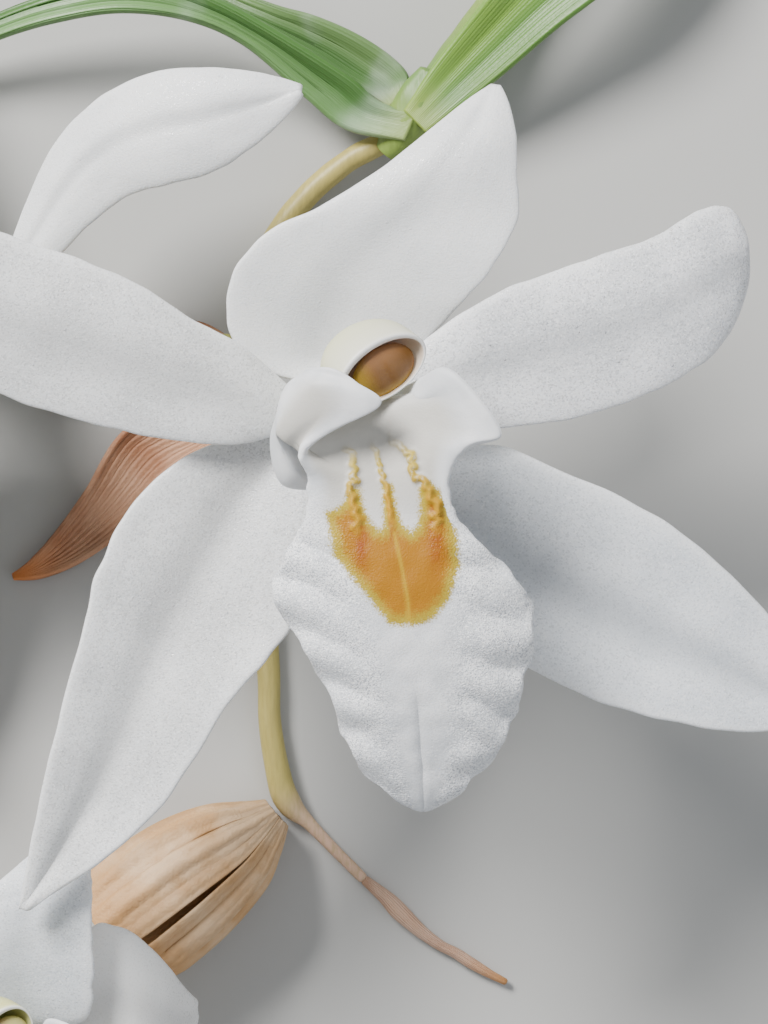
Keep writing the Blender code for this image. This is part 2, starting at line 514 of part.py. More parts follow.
def main():
    for old in list(bpy.data.objects):
        bpy.data.objects.remove(old)
    shoot = bpy.data.collections.new("coelogyne_orchid")
    bpy.context.scene.collection.children.link(shoot)
    looks = {
        "tepal": material("white_tepal", (0.86, 0.87, 0.88), 0.45),
        "lip": material("white_lip", (0.88, 0.86, 0.80), 0.45),
        "column": material("cream_column", (0.85, 0.85, 0.72), 0.4),
        "anther": material("brown_anther", (0.62, 0.40, 0.18), 0.4),
        "bract": material("tan_bract", (0.68, 0.48, 0.30), 0.6),
        "stalk": material("olive_stalk", (0.52, 0.46, 0.22), 0.5),
        "leaf": material("green_leaf", (0.25, 0.42, 0.15), 0.5),
    }
    stalk("flower_stalk", FLOWER_STALK, 12, looks["stalk"], shoot, 2)
    stalk("stem_stub", STEM_STUB, 12, looks["leaf"], shoot, 2)
    for name, stations in (("leaf_left", LEAF_LEFT), ("leaf_back", LEAF_BACK), ("leaf_right", LEAF_RIGHT)):
        surface = blade(stations, 0.0, LEAF_PLEATS, LEAF_PLEAT_HEIGHT)
        sheet(name, surface, (15, 10), LEAF_THICK, looks["leaf"], shoot)
    bracts = (
        ("main_bract", channel(MAIN_BRACT), (10, 10)),
        ("upper_bract", channel(UPPER_BRACT), (8, 10)),
        ("lower_bract", channel(LOWER_BRACT, LOWER_BRACT_ROLL), (9, 14)),
    )
    for name, surface, cells in bracts:
        sheet(name, surface, cells, BRACT_THICK, looks["bract"], shoot)
    stalk("tail_bract", TAIL_BRACT, 8, looks["bract"], shoot, 2)
    pedicel("main_pedicel", (0.3, 0.0, 2.5), (2.6, 0.4, 8.5), MAIN_BLOOM, looks["stalk"], shoot)
    pedicel("upper_pedicel", (-1.0, 7.7, 2.3), (-9.0, 6.6, 4.6), UPPER_BLOOM, looks["stalk"], shoot)
    pedicel("lower_pedicel", (2.5, -33.7, 1.8), (-8.8, -42.2, 4.6), LOWER_BLOOM, looks["stalk"], shoot)
    main_tepals = {
        "dorsal_sepal": (DORSAL_SEPAL, 0, 0.0),
        "petal_left": (PETAL_LEFT, 0, 0.0),
        "petal_right": (PETAL_RIGHT, 0, 0.0),
        "lateral_sepal_left": (LATERAL_LEFT, 0, 0.0),
        "lateral_sepal_right": (LATERAL_RIGHT, 0, 0.0),
    }
    upper_tepals = {
        "dorsal_sepal": (UPPER_DORSAL_SEPAL, 0, -0.1),
        "petal_left": (PETAL_LEFT, -45, 0.1),
        "petal_right": (PETAL_RIGHT, -128, 0.0),
        "lateral_sepal_left": (LATERAL_LEFT, -75, 0.16),
        "lateral_sepal_right": (LATERAL_RIGHT, -78, -0.02),
    }
    lower_tepals = {
        "dorsal_sepal": (LOWER_DORSAL_SEPAL, 0, 0.0),
        "petal_left": (PETAL_LEFT, 8, -0.05),
        "petal_right": (LOWER_PETAL_RIGHT, 0, 0.0),
        "lateral_sepal_left": (LATERAL_LEFT, -12, 0.03),
        "lateral_sepal_right": (LATERAL_RIGHT, -12, -0.21),
    }
    bloom("main", MAIN_BLOOM, main_tepals, (16, 8), (34, 16), 0, looks, shoot)
    bloom("upper", UPPER_BLOOM, upper_tepals, (11, 6), (22, 12), -80, looks, shoot)
    bloom("lower", LOWER_BLOOM, lower_tepals, (11, 6), (22, 12), 30, looks, shoot)


main()
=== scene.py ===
"""Looks of the coelogyne orchid shoot, lying on a pale floor with its blooms facing up.

Lengths are in millimetres and turned into metres where a mesh is made. Each piece is rebuilt here as a fine
surface on the stations of its solid, and replaces that solid's node. A few stations differ a little from the
solids' ones: at the leaf bases, the column's mouth, the anther cap and two of the bracts.
"""

import math

import bmesh
import bpy
import numpy as np
from mathutils import Matrix, Vector


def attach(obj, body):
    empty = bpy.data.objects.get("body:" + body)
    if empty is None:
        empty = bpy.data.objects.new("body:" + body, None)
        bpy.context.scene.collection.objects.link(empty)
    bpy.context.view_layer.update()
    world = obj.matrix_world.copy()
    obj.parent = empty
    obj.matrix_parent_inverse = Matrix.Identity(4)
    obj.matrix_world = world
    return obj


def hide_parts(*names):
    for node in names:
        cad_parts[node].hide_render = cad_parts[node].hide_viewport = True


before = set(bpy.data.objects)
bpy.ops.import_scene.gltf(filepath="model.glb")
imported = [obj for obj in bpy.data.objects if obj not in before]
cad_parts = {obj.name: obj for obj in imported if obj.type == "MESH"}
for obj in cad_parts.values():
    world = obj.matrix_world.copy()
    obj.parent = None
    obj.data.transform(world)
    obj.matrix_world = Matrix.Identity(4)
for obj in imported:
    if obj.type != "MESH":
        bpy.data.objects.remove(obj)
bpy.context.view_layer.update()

MM = 0.001
TEPAL_THICK = 0.7
LIP_THICK = 0.7
LEAF_THICK = 0.8
BRACT_THICK = 0.6
TEPAL_RIM = 0.22
LIP_RIM = 0.30
THIN_RIM = 0.25
RECEPTACLE_RADIUS = 2.2
STALK_RADIUS = 1.05
STALK_HEIGHT = 0.9

# How many cells the tepals and the lip of a bloom and other pieces have along and across.
MAIN_CELLS = ((120, 64), (300, 150))
SIDE_CELLS = ((90, 48), (160, 90))
LEAF_CELLS = (110, 48)
COLUMN_SIDES = 72
COLUMN_STEPS = (41, 21)
ANTHER_CELLS = (48, 32)

# Random waves: how many sines make one, then added seed, height and wavelength.
SINES = 7
TEPAL_SPAN = (40, 9)
TEPAL_SWELLS = ((0, 0.22, 15.0), (50, 0.018, 4.5))
TEPAL_FRAY = (9, 0.012, 2.4)
TEPAL_VEINS = 9
TEPAL_VEIN_HEIGHT = 0.006
TUBE_SWELL = (31, 0.03, 3.0)

# How much closer cells lie at a blade's edges, a guard against zero, and a distance beyond all others.
EASE = 0.55
TINY = 1e-9
FAR_AWAY = 1e9

# Stations of a blade, base to tip: left edge x, y, z, right edge x, y, z, and how far its middle stands
# above the line between them. The frame is the bloom's own, with z towards whoever looks into the bloom.
DORSAL_SEPAL = (
    (-2.6, 2.4, 0.0, 2.4, 2.9, 0.0, 0.0),
    (-5.4, 3.2, 0.1, 4.6, 3.8, 0.0, -0.3),
    (-7.7, 5.2, 0.4, 7.0, 4.8, 0.2, -0.6),
    (-8.4, 8.2, 0.9, 9.0, 6.8, 0.8, -0.7),
    (-7.6, 11.8, 1.5, 11.2, 9.2, 2.0, -0.5),
    (-4.6, 14.6, 2.0, 13.5, 12.0, 2.9, -0.1),
    (-0.6, 16.6, 2.3, 15.3, 15.6, 3.0, 0.4),
    (3.9, 19.3, 2.4, 15.1, 18.8, 3.3, 0.7),
    (7.6, 22.2, 2.1, 15.1, 21.8, 3.2, 0.7),
    (10.8, 24.8, 1.6, 14.6, 24.5, 2.4, 0.4),
    (13.1, 26.5, 1.2, 13.9, 26.3, 1.4, 0.0),
)
PETAL_LEFT = (
    (-2.7, 1.3, 1.3, -2.8, -1.3, 1.3, 0.0),
    (-4.8, 3.2, 1.8, -4.9, -2.2, 1.6, 0.4),
    (-7.6, 5.5, 2.6, -7.6, -2.8, 2.0, 0.6),
    (-11.2, 7.3, 3.2, -11.0, -2.7, 2.5, 0.7),
    (-15.0, 9.8, 3.7, -15.2, -2.0, 3.0, 0.7),
    (-19.5, 11.8, 4.2, -19.8, -1.0, 3.5, 0.7),
    (-24.0, 13.3, 4.8, -24.8, 0.5, 4.0, 0.6),
    (-28.4, 14.8, 5.3, -29.2, 2.7, 4.6, 0.5),
    (-31.9, 14.8, 5.6, -32.4, 5.2, 5.1, 0.3),
    (-34.0, 13.2, 5.7, -34.3, 8.0, 5.4, 0.2),
    (-34.9, 11.2, 5.7, -34.9, 10.2, 5.6, 0.0),
)
PETAL_RIGHT = (
    (2.8, 1.4, 1.3, 2.8, -1.2, 1.3, 0.0),
    (5.0, 3.2, 1.9, 5.2, -1.8, 1.5, 0.4),
    (8.6, 6.3, 2.5, 8.8, -1.9, 1.8, 0.6),
    (13.0, 9.1, 2.7, 13.2, -1.5, 2.2, 0.7),
    (17.7, 11.0, 2.7, 18.0, -1.0, 2.6, 0.9),
    (22.3, 12.6, 2.7, 23.0, 0.2, 2.8, 1.0),
    (26.4, 14.0, 2.5, 27.6, 2.2, 2.8, 1.1),
    (29.8, 16.1, 2.0, 30.7, 4.2, 2.7, 1.2),
    (32.2, 16.5, 1.2, 32.6, 6.6, 2.2, 1.1),
    (33.4, 15.0, 0.9, 33.7, 9.6, 1.5, 0.7),
    (33.9, 13.0, 1.0, 33.9, 12.0, 1.1, 0.0),
)
LATERAL_LEFT = (
    (-2.7, -1.2, 0.0, -0.9, -2.8, 0.0, 0.0),
    (-6.0, -1.9, 0.1, -1.2, -5.6, 0.1, -0.2),
    (-10.2, -3.0, 0.4, -1.4, -9.4, 0.3, -0.6),
    (-14.0, -5.4, 0.9, -1.9, -13.4, 0.6, -0.9),
    (-16.9, -8.9, 1.3, -2.9, -17.2, 0.8, -1.1),
    (-18.9, -13.2, 1.4, -5.2, -20.4, 0.9, -1.2),
    (-20.1, -18.0, 1.2, -8.2, -23.8, 0.8, -1.1),
    (-21.6, -23.4, 0.8, -10.8, -28.0, 0.5, -1.0),
    (-23.0, -28.8, 0.2, -14.2, -32.8, 0.0, -0.8),
    (-24.2, -34.0, -0.6, -18.6, -36.8, -0.7, -0.5),
    (-25.1, -38.4, -1.4, -22.4, -39.4, -1.5, -0.2),
    (-25.6, -40.9, -2.0, -24.9, -41.0, -2.0, 0.0),
)
LATERAL_RIGHT = (
    (2.8, -1.1, 0.0, 0.9, -2.8, 0.0, 0.0),
    (6.0, -2.0, 0.1, 2.0, -5.6, 0.1, -0.2),
    (10.2, -2.7, 0.2, 4.4, -9.4, 0.3, -0.6),
    (14.4, -3.0, 0.3, 7.6, -13.4, 0.7, -0.9),
    (18.6, -4.8, 0.4, 11.4, -17.2, 1.0, -1.1),
    (22.6, -6.5, 0.4, 15.6, -20.6, 1.1, -1.1),
    (26.4, -8.5, 0.3, 19.6, -22.7, 1.0, -1.0),
    (30.0, -11.0, 0.0, 24.0, -24.4, 0.7, -0.9),
    (33.4, -14.0, -0.5, 28.8, -25.6, 0.2, -0.7),
    (36.6, -17.6, -1.2, 33.4, -26.3, -0.6, -0.5),
    (39.0, -21.4, -1.9, 37.4, -26.1, -1.5, -0.2),
    (40.2, -24.4, -2.4, 39.9, -25.2, -2.3, 0.0),
)
# Three tepals of the two side blooms grew bent in their own ways.
UPPER_DORSAL_SEPAL = (
    (2.3, 1.9, 1.3, 2.9, -0.3, 1.3, 0.0),
    (3.6, 5.2, 1.6, 5.2, 2.0, 1.6, 0.3),
    (5.4, 9.8, 2.1, 8.1, 4.7, 2.0, 0.6),
    (7.7, 14.2, 2.6, 11.7, 8.0, 2.4, 0.9),
    (11.3, 17.7, 3.0, 14.9, 10.0, 2.6, 1.1),
    (15.9, 19.9, 3.2, 18.3, 10.8, 2.6, 1.2),
    (20.3, 20.4, 3.2, 22.0, 11.8, 2.5, 1.1),
    (24.3, 20.1, 3.0, 25.4, 13.9, 2.4, 0.8),
    (27.3, 19.5, 2.6, 28.0, 16.1, 2.3, 0.4),
    (29.3, 18.8, 2.2, 29.5, 18.0, 2.2, 0.0),
)
LOWER_DORSAL_SEPAL = (
    (-2.4, 2.6, 1.4, 2.6, 2.8, 1.4, 0.0),
    (-5.4, 4.6, 2.2, 6.4, 3.6, 2.2, 0.3),
    (-6.4, 8.5, 2.9, 7.4, 7.4, 2.9, 0.5),
    (-4.8, 12.0, 3.0, 7.5, 11.8, 3.0, 0.5),
    (-1.6, 14.4, 2.6, 7.5, 14.8, 2.6, 0.4),
    (1.4, 16.8, 1.8, 7.0, 17.0, 1.8, 0.2),
    (4.2, 19.2, 0.8, 5.2, 19.4, 0.8, 0.0),
)
LOWER_PETAL_RIGHT = (
    (2.9, 0.9, 0.0, 2.8, -1.2, 0.0, 0.0),
    (4.6, 5.4, 0.0, 5.0, -1.8, 0.2, 0.2),
    (6.4, 10.6, -0.6, 7.8, -2.4, -0.4, 0.5),
    (9.2, 10.2, -1.7, 10.2, -2.9, -1.7, 0.7),
    (11.4, 6.8, -4.4, 11.6, -3.0, -4.4, 0.7),
    (12.4, 3.4, -7.6, 12.4, -2.4, -7.6, 0.4),
    (12.8, 1.2, -10.6, 12.8, -0.4, -10.6, 0.0),
)

# Rows of the lip, base to tip, each from its left margin over the floor to its right margin.
LIP = (
    ((-1.9, -1.4, 3.2), (-1.5, -1.9, 2.9), (-0.8, -2.3, 2.7), (0.0, -2.4, 2.6),
     (0.8, -2.3, 2.7), (1.5, -1.9, 2.9), (1.9, -1.4, 3.2)),
    ((-3.1, 0.2, 5.8), (-4.5, -2.6, 5.8), (-3.7, -6.0, 5.2), (-0.2, -6.0, 3.9),
     (2.6, -5.0, 4.2), (3.9, -2.2, 5.0), (3.4, 0.2, 5.8)),
    ((-2.3, 2.6, 10.6), (-4.3, -1.4, 9.0), (-2.7, -5.1, 10.3), (0.2, -6.0, 7.4),
     (3.6, -4.2, 7.4), (5.4, -1.2, 9.4), (6.9, 1.9, 11.4)),
    ((-0.6, 3.0, 15.2), (-3.4, 1.4, 12.6), (-3.6, -3.2, 12.2), (1.4, -2.4, 8.8),
     (4.7, -0.8, 10.0), (7.1, 0.5, 12.0), (9.2, 3.0, 13.4)),
    ((2.3, 1.7, 16.3), (-1.6, 1.6, 15.4), (-3.9, -2.4, 13.2), (2.4, -0.2, 10.6),
     (5.5, 0.1, 11.6), (8.6, 0.6, 12.8), (11.4, 1.2, 14.4)),
    ((4.0, -0.2, 16.4), (0.0, -0.2, 15.8), (-3.3, -2.9, 13.7), (3.0, -1.8, 11.7),
     (5.8, -1.6, 12.0), (9.4, -1.8, 13.2), (13.6, -2.3, 14.2)),
    ((-2.0, -3.1, 14.7), (-2.2, -3.4, 14.0), (-1.6, -3.8, 12.9), (3.6, -3.8, 12.0),
     (6.2, -3.8, 12.3), (8.6, -3.6, 13.2), (10.8, -3.5, 13.8)),
    ((-1.6, -5.4, 12.9), (0.0, -5.6, 12.8), (1.8, -5.8, 12.5), (4.2, -6.2, 12.4),
     (6.4, -6.0, 12.6), (8.2, -5.8, 12.9), (9.6, -5.6, 13.1)),
    ((-1.8, -8.6, 12.4), (0.1, -8.9, 12.6), (2.4, -9.1, 12.8), (4.9, -9.3, 12.8),
     (7.1, -9.2, 12.8), (8.8, -9.1, 12.7), (10.2, -8.8, 12.5)),
    ((-3.4, -12.0, 11.8), (-0.5, -12.1, 12.6), (2.4, -12.2, 13.1), (5.6, -12.4, 13.2),
     (8.4, -12.2, 13.1), (10.6, -12.0, 12.7), (12.9, -11.7, 11.9)),
    ((-4.3, -14.6, 11.2), (-0.9, -15.0, 12.4), (2.6, -15.4, 13.0), (6.1, -15.6, 13.2),
     (9.4, -15.4, 13.0), (12.6, -15.0, 12.4), (15.7, -14.7, 11.2)),
    ((-2.2, -18.4, 10.9), (0.6, -18.6, 12.1), (3.4, -18.8, 12.6), (6.4, -19.0, 12.7),
     (9.6, -18.8, 12.6), (12.9, -18.6, 12.1), (16.1, -18.4, 10.9)),
    ((0.1, -22.4, 10.2), (2.3, -22.6, 11.2), (4.5, -22.8, 11.6), (6.8, -23.0, 11.6),
     (9.5, -22.8, 11.6), (12.4, -22.6, 11.2), (15.2, -22.4, 10.2)),
    ((1.4, -26.2, 9.2), (3.3, -26.4, 10.0), (5.2, -26.6, 10.2), (7.1, -26.8, 10.2),
     (9.4, -26.6, 10.2), (11.6, -26.4, 10.0), (13.9, -26.2, 9.2)),
    ((3.6, -29.5, 8.1), (4.9, -29.7, 8.5), (6.2, -29.9, 8.6), (7.4, -30.0, 8.6),
     (8.7, -29.9, 8.6), (10.0, -29.7, 8.5), (11.3, -29.5, 8.1)),
    ((6.7, -31.5, 7.1), (6.95, -31.7, 7.1), (7.2, -31.9, 7.1), (7.5, -32.0, 7.1),
     (7.8, -31.9, 7.1), (8.05, -31.7, 7.1), (8.3, -31.5, 7.1)),
)
LIP_WAVES = 7
LIP_WAVE_HEIGHT = 0.45
MID_LOBE_START = 0.52
LIP_MIDDLE = 0.03
LIP_SWELL = (12, 0.05, 2.2)
LIP_GROOVE_DEPTH = 0.40
LIP_GROOVE_WIDTH = 0.055

# The teeth of the lip's margin: its run and offset, their height, and the seed, share and pitch of two waves.
MARGIN_RUN = (46, 20)
TOOTH_HEIGHT = 0.085
TOOTH_WAVES = ((4, 1.0, 1.3), (5, 0.5, 0.7))

# The side folds of the mid lobe: where they lie across it, how wide, how high and how far apart.
FOLD_PLACE = 0.68
FOLD_WIDTH = 0.22
FOLD_HEIGHT = 0.24
FOLD_PITCH = 3.3
FOLD_SLANT = 0.35
FOLD_WANDER = (21, 0.8, 6.0)
MID_LOBE_X = 6.0

# Rings of the column, up its outside and down its hollow: centre x, y, z, half width, half depth and lean.
COLUMN_OUTSIDE = (
    (0.2, 0.5, 2.1, 1.5, 1.4, 0.0),
    (0.9, 1.6, 5.0, 1.5, 1.3, 0.1),
    (1.8, 3.0, 8.0, 1.9, 1.5, 0.3),
    (2.4, 4.0, 10.2, 3.0, 2.3, 0.5),
    (2.9, 3.9, 12.0, 3.8, 2.6, 0.8),
    (4.3, 2.8, 13.8, 3.9, 2.4, 1.0),
)
COLUMN_RIM = (4.32, 2.78, 13.85, 3.78, 2.27, 1.0)
COLUMN_INSIDE = (
    (4.4, 2.7, 13.7, 3.6, 2.1, 1.0),
    (3.8, 3.4, 12.5, 3.1, 1.8, 0.9),
    (3.4, 3.8, 11.6, 2.0, 1.2, 0.7),
)
COLUMN_RIM_TURN = math.radians(30)
COLUMN_RIM_FACING = Vector((0.35, -0.35, 0.87))
ANTHER_PLACE = (4.35, 2.75, 13.0)
ANTHER_RADII = (2.7, 2.0, 0.8)
FURROW_DEPTH = 0.10
FURROW_WIDTH = 0.16

# Leaves, in the frame of the whole shoot.
LEAF_LEFT = (
    (15.0, 27.3, 4.9, 13.9, 25.0, 4.6, 0.0),
    (11.6, 28.4, 4.6, 8.8, 26.1, 4.4, -0.7),
    (9.0, 30.5, 5.6, 5.1, 28.9, 5.2, -0.9),
    (2.8, 34.2, 7.2, 0.0, 33.1, 6.8, -0.8),
    (-2.1, 36.8, 8.0, -4.8, 35.1, 7.8, -0.7),
    (-7.4, 38.6, 8.0, -10.6, 35.7, 8.0, -0.5),
    (-14.4, 38.0, 7.0, -16.1, 35.0, 7.2, -0.4),
    (-21.3, 36.0, 5.4, -21.5, 33.6, 5.6, -0.3),
    (-28.3, 32.6, 3.2, -27.8, 31.0, 3.3, -0.2),
    (-34.4, 27.9, 0.5, -34.0, 27.3, 0.5, 0.0),
)
LEAF_BACK = (
    (13.95, 29.4, 2.4, 12.5, 28.1, 2.3, 0.0),
    (14.2, 30.9, 2.6, 10.6, 29.3, 2.3, -0.5),
    (12.6, 32.6, 2.9, 8.2, 30.6, 2.5, -0.8),
    (9.7, 34.4, 3.4, 5.7, 32.2, 3.0, -0.8),
    (6.2, 35.9, 3.7, 3.1, 33.6, 3.4, -0.7),
    (2.8, 36.9, 3.6, 0.6, 35.0, 3.4, -0.5),
    (-1.3, 38.6, 2.9, -2.6, 36.8, 2.8, -0.4),
    (-5.6, 41.3, 1.9, -6.5, 40.0, 1.8, -0.2),
    (-10.8, 44.7, 0.5, -11.1, 44.3, 0.5, 0.0),
)
LEAF_RIGHT = (
    (13.8, 27.6, 5.0, 15.8, 25.6, 5.0, 0.0),
    (16.2, 31.2, 5.6, 19.4, 28.3, 5.6, -0.6),
    (18.9, 34.6, 6.6, 22.4, 30.6, 6.6, -1.0),
    (21.9, 38.2, 8.0, 27.0, 34.4, 8.0, -1.3),
    (25.0, 42.0, 8.9, 31.8, 38.0, 8.9, -1.5),
    (28.9, 46.4, 8.6, 36.3, 42.4, 8.6, -1.4),
    (34.0, 51.4, 6.6, 40.7, 48.0, 6.6, -1.0),
    (40.5, 56.1, 3.6, 44.8, 53.9, 3.6, -0.5),
    (46.0, 59.0, 0.5, 46.5, 58.5, 0.5, 0.0),
)
LEAF_SHEATH = (
    (12.2, 24.2, 2.2, 1.1),
    (13.4, 25.6, 2.8, 1.7),
    (14.4, 27.4, 3.2, 2.0),
    (15.3, 29.3, 3.6, 1.8),
    (16.2, 31.2, 4.0, 1.0),
)
LEAF_PLEATS = 3
LEAF_PLEAT_HEIGHT = 0.0625
LEAF_VEINS = 13
LEAF_VEIN_HEIGHT = 0.012

# Stalks: each point is x, y, z and radius.
FLOWER_STALK = (
    (15.1, 27.7, 2.2, 1.0),
    (12.6, 25.5, 2.0, 1.0),
    (8.2, 23.0, 1.6, 1.0),
    (3.9, 18.8, 1.2, 1.05),
    (1.1, 13.6, STALK_HEIGHT, 1.05),
    (0.0, 7.6, STALK_HEIGHT, 1.2),
    (-0.2, 4.0, STALK_HEIGHT, STALK_RADIUS),
    (0.0, 0.0, STALK_HEIGHT, 1.25),
    (0.3, -4.0, STALK_HEIGHT, STALK_RADIUS),
    (0.9, -9.7, STALK_HEIGHT, STALK_RADIUS),
    (1.9, -19.5, STALK_HEIGHT, 1.0),
    (2.1, -25.6, STALK_HEIGHT, 1.0),
    (2.9, -30.6, STALK_HEIGHT, 1.1),
    (3.8, -32.8, STALK_HEIGHT, 1.1),
    (5.6, -34.6, 0.8, 0.6),
    (8.2, -37.3, 0.7, 0.5),
    (10.4, -39.5, 0.7, 0.45),
)
STEM_STUB = (
    (31.6, 48.4, 2.1, 2.1),
    (27.0, 42.6, 2.2, 2.2),
    (21.6, 35.8, 2.3, 2.2),
    (17.8, 31.0, 2.4, 2.0),
    (15.4, 28.0, 2.4, 1.6),
)

# Bracts: each station is x, y, z, half width, depth, and how far round the section wraps, in degrees.
MAIN_BRACT = (
    (-1.7, -0.4, 1.3, 0.8, 0.4, 70),
    (-4.6, -0.6, 1.9, 2.4, 1.2, 75),
    (-8.3, -2.4, 2.1, 3.3, 1.5, 80),
    (-12.0, -6.8, 2.0, 2.5, 1.3, 80),
    (-15.5, -10.2, 1.7, 1.7, 0.9, 75),
    (-18.3, -12.1, 1.2, 1.0, 0.5, 60),
    (-20.5, -12.9, 0.8, 0.4, 0.2, 40),
)
UPPER_BRACT = (
    (-1.7, 7.4, 1.3, 0.8, 0.4, 70),
    (-4.4, 7.3, 1.9, 2.2, 1.2, 80),
    (-8.0, 6.5, 2.1, 2.5, 1.4, 85),
    (-12.0, 5.0, 2.0, 2.2, 1.2, 80),
    (-15.6, 3.3, 1.5, 1.3, 0.7, 70),
    (-18.0, 2.3, 0.9, 0.5, 0.2, 40),
)
LOWER_BRACT = (
    (2.6, -33.6, 1.9, 1.3, 1.3, 180),
    (1.2, -34.8, 2.8, 2.5, 2.2, 180),
    (-0.9, -36.4, 3.7, 4.0, 3.1, 179),
    (-4.6, -39.0, 4.2, 5.1, 3.6, 177),
    (-8.8, -42.2, 4.3, 5.4, 3.7, 176),
    (-11.4, -44.3, 4.2, 5.0, 3.6, 175),
)
# The withered bract is rolled up: each station is x, y, z and radius.
TAIL_BRACT = (
    (10.3, -39.4, 0.72, 0.42),
    (12.1, -40.9, 0.75, 0.65),
    (13.4, -42.2, 0.80, 0.78),
    (15.2, -43.9, 0.75, 0.62),
    (17.0, -45.2, 0.70, 0.45),
    (18.4, -45.9, 0.70, 0.45),
    (19.8, -46.8, 0.70, 0.48),
    (21.5, -47.8, 0.65, 0.36),
    (22.9, -48.5, 0.60, 0.25),
)
LOWER_BRACT_ROLL = math.radians(-18)
BRACT_RIBS = 5
BRACT_RIB_HEIGHT = 0.12
BRACT_VEINS = 15
BRACT_VEIN_HEIGHT = 0.04

# Each bloom: base x, y, z and its tilt about X and Y, in degrees.
MAIN_BLOOM = ((7.7, 1.1, 24.0), 0.0, 0.0)
UPPER_BLOOM = ((-22.7, 9.3, 11.0), 0.0, -20.0)
LOWER_BLOOM = ((-18.6, -52.6, 13.0), 10.0, -10.0)
OVARY_LENGTH = 5.0
RECEPTACLE_DEPTH = 1.6
PEDICEL_NECK = 4.0
PEDICEL_SLANT = 0.25
PEDICEL_RADII = (0.8, 0.75, 1.0, 1.6, RECEPTACLE_RADIUS, RECEPTACLE_RADIUS - 0.3)
# Each pedicel: its bloom, where it leaves the stalk, where it bends and the bloom's place.
PEDICELS = (
    ("main", (0.3, 0.0, 2.5), (2.6, 0.4, 8.5), MAIN_BLOOM),
    ("upper", (-1.0, 7.7, 2.3), (-9.0, 6.6, 4.6), UPPER_BLOOM),
    ("lower", (2.5, -33.7, 1.8), (-8.8, -42.2, 4.6), LOWER_BLOOM),
)
TEPAL_NAMES = ("dorsal_sepal", "petal_left", "petal_right", "lateral_sepal_left", "lateral_sepal_right")

# The lip's crests, pale line and outline of the disc, as x, y in the bloom's frame. A crest has a width and a
# height, and its zigzag a pitch and a swing, which drift and swell along it.
CREST_LINES = (
    ((1.3, -2.5), (1.98, -5.3), (1.82, -7.1), (2.2, -8.4), (2.5, -10.9)),
    ((3.3, -2.5), (4.0, -4.6), (4.5, -6.3), (4.9, -8.3), (5.2, -10.2)),
    ((4.7, -2.0), (5.9, -3.4), (6.9, -4.1), (6.7, -5.2), (7.6, -5.9), (8.3, -7.4), (8.4, -8.4), (8.4, -11.0)),
)
CREST_SIZE = ((0.26, 0.40), (0.20, 0.30), (0.28, 0.42))
CREST_ZIGZAG = ((1.05, 0.30), (0.95, 0.17), (1.15, 0.32))
CREST_DRIFT = ((0.22, 2.1), (0.12, 5.3))
CREST_SWELL = (0.75, 0.35, 1.7)
PALE_LINE = ((5.2, -10.0), (5.6, -12.0), (6.1, -14.5), (6.4, -17.0))
PALE_LINE_WIDTH = 0.15
DISC_OUTLINE = (
    (0.0, -8.3), (0.25, -9.7), (0.75, -11.6), (1.75, -13.1), (2.8, -14.3), (4.1, -16.0), (5.0, -16.9),
    (7.0, -16.9), (8.3, -16.3), (9.35, -15.0), (10.0, -12.9), (10.05, -11.2), (9.65, -9.6), (9.2, -7.9),
    (8.8, -6.7), (7.9, -5.8), (7.3, -6.4), (7.3, -8.0), (7.1, -9.5), (6.5, -10.0), (5.7, -9.3), (5.3, -8.0),
    (5.0, -6.2), (4.4, -6.2), (4.45, -9.6), (4.1, -9.9), (3.3, -9.3), (2.7, -8.0), (2.4, -6.6), (1.6, -6.6),
    (1.4, -7.6), (0.8, -8.1),
)
# Rust stripes on the disc: x, y, half width and half height.
RUST_SPOTS = ((2.7, -10.7, 0.5, 1.9), (8.4, -10.0, 0.55, 2.5), (5.0, -8.9, 0.22, 1.4))

# The places of a colour mix's two colours among its inputs, and of its colour among its outputs.
MIX_A = 6
MIX_B = 7
MIX_RESULT = 2

# Each light: name, place and aim in metres, size in metres, watts and colour.
LIGHTS = (
    ("key", (-0.34, 0.40, 0.50), (0.0, 0.0, 0.01), 0.28, 12.5, (1.0, 0.98, 0.95)),
    ("fill", (0.5, -0.3, 0.5), (0.0, 0.0, 0.01), 0.6, 1.6, (0.92, 0.96, 1.0)),
)
WORLD_COLOUR = (0.93, 0.96, 1.0, 1.0)
WORLD_STRENGTH = 0.42
FLOOR_SIZE = 4.0
FLOOR_HEIGHT = -0.0002
CAMERA_PLACE = (12.1, -7.2, 330.0)
CAMERA_SENSOR = 24.0
CAMERA_LENS = 87.9


def smooth(rows, t):
    """The rows at each t from 0 to 1 on a smooth curve through them all. Rows and t are arrays."""
    rows = np.asarray(rows, float)
    t = np.asarray(t, float)
    last = len(rows) - 1
    i = np.minimum((t * last).astype(int), last - 1)
    f = (t * last - i).reshape(t.shape + (1,) * (rows.ndim - 1))
    a, b, c, d = (rows[np.clip(i + k, 0, last)] for k in (-1, 0, 1, 2))
    square, cube = 2 * a - 5 * b + 4 * c - d, 3 * b - a - 3 * c + d
    return 0.5 * (2 * b + (c - a) * f + square * f ** 2 + cube * f ** 3)


def rise(value, low, high):
    """0 below low, 1 above high, and a smooth step between."""
    t = np.clip((value - low) / (high - low), 0.0, 1.0)
    return t * t * (3 - 2 * t)


def ripple(points, wavelength, seed):
    """Gentle random waves from about -1 to 1, as a sum of sines in seeded directions."""
    rng = np.random.default_rng(seed)
    total = np.zeros(points.shape[:-1])
    for _ in range(SINES):
        direction = rng.normal(size=3)
        direction /= np.linalg.norm(direction)
        pitch = wavelength * rng.uniform(0.7, 1.5)
        total += np.sin(points @ direction * 2 * math.pi / pitch + rng.uniform(0, 2 * math.pi))
    return total / (SINES / 2)


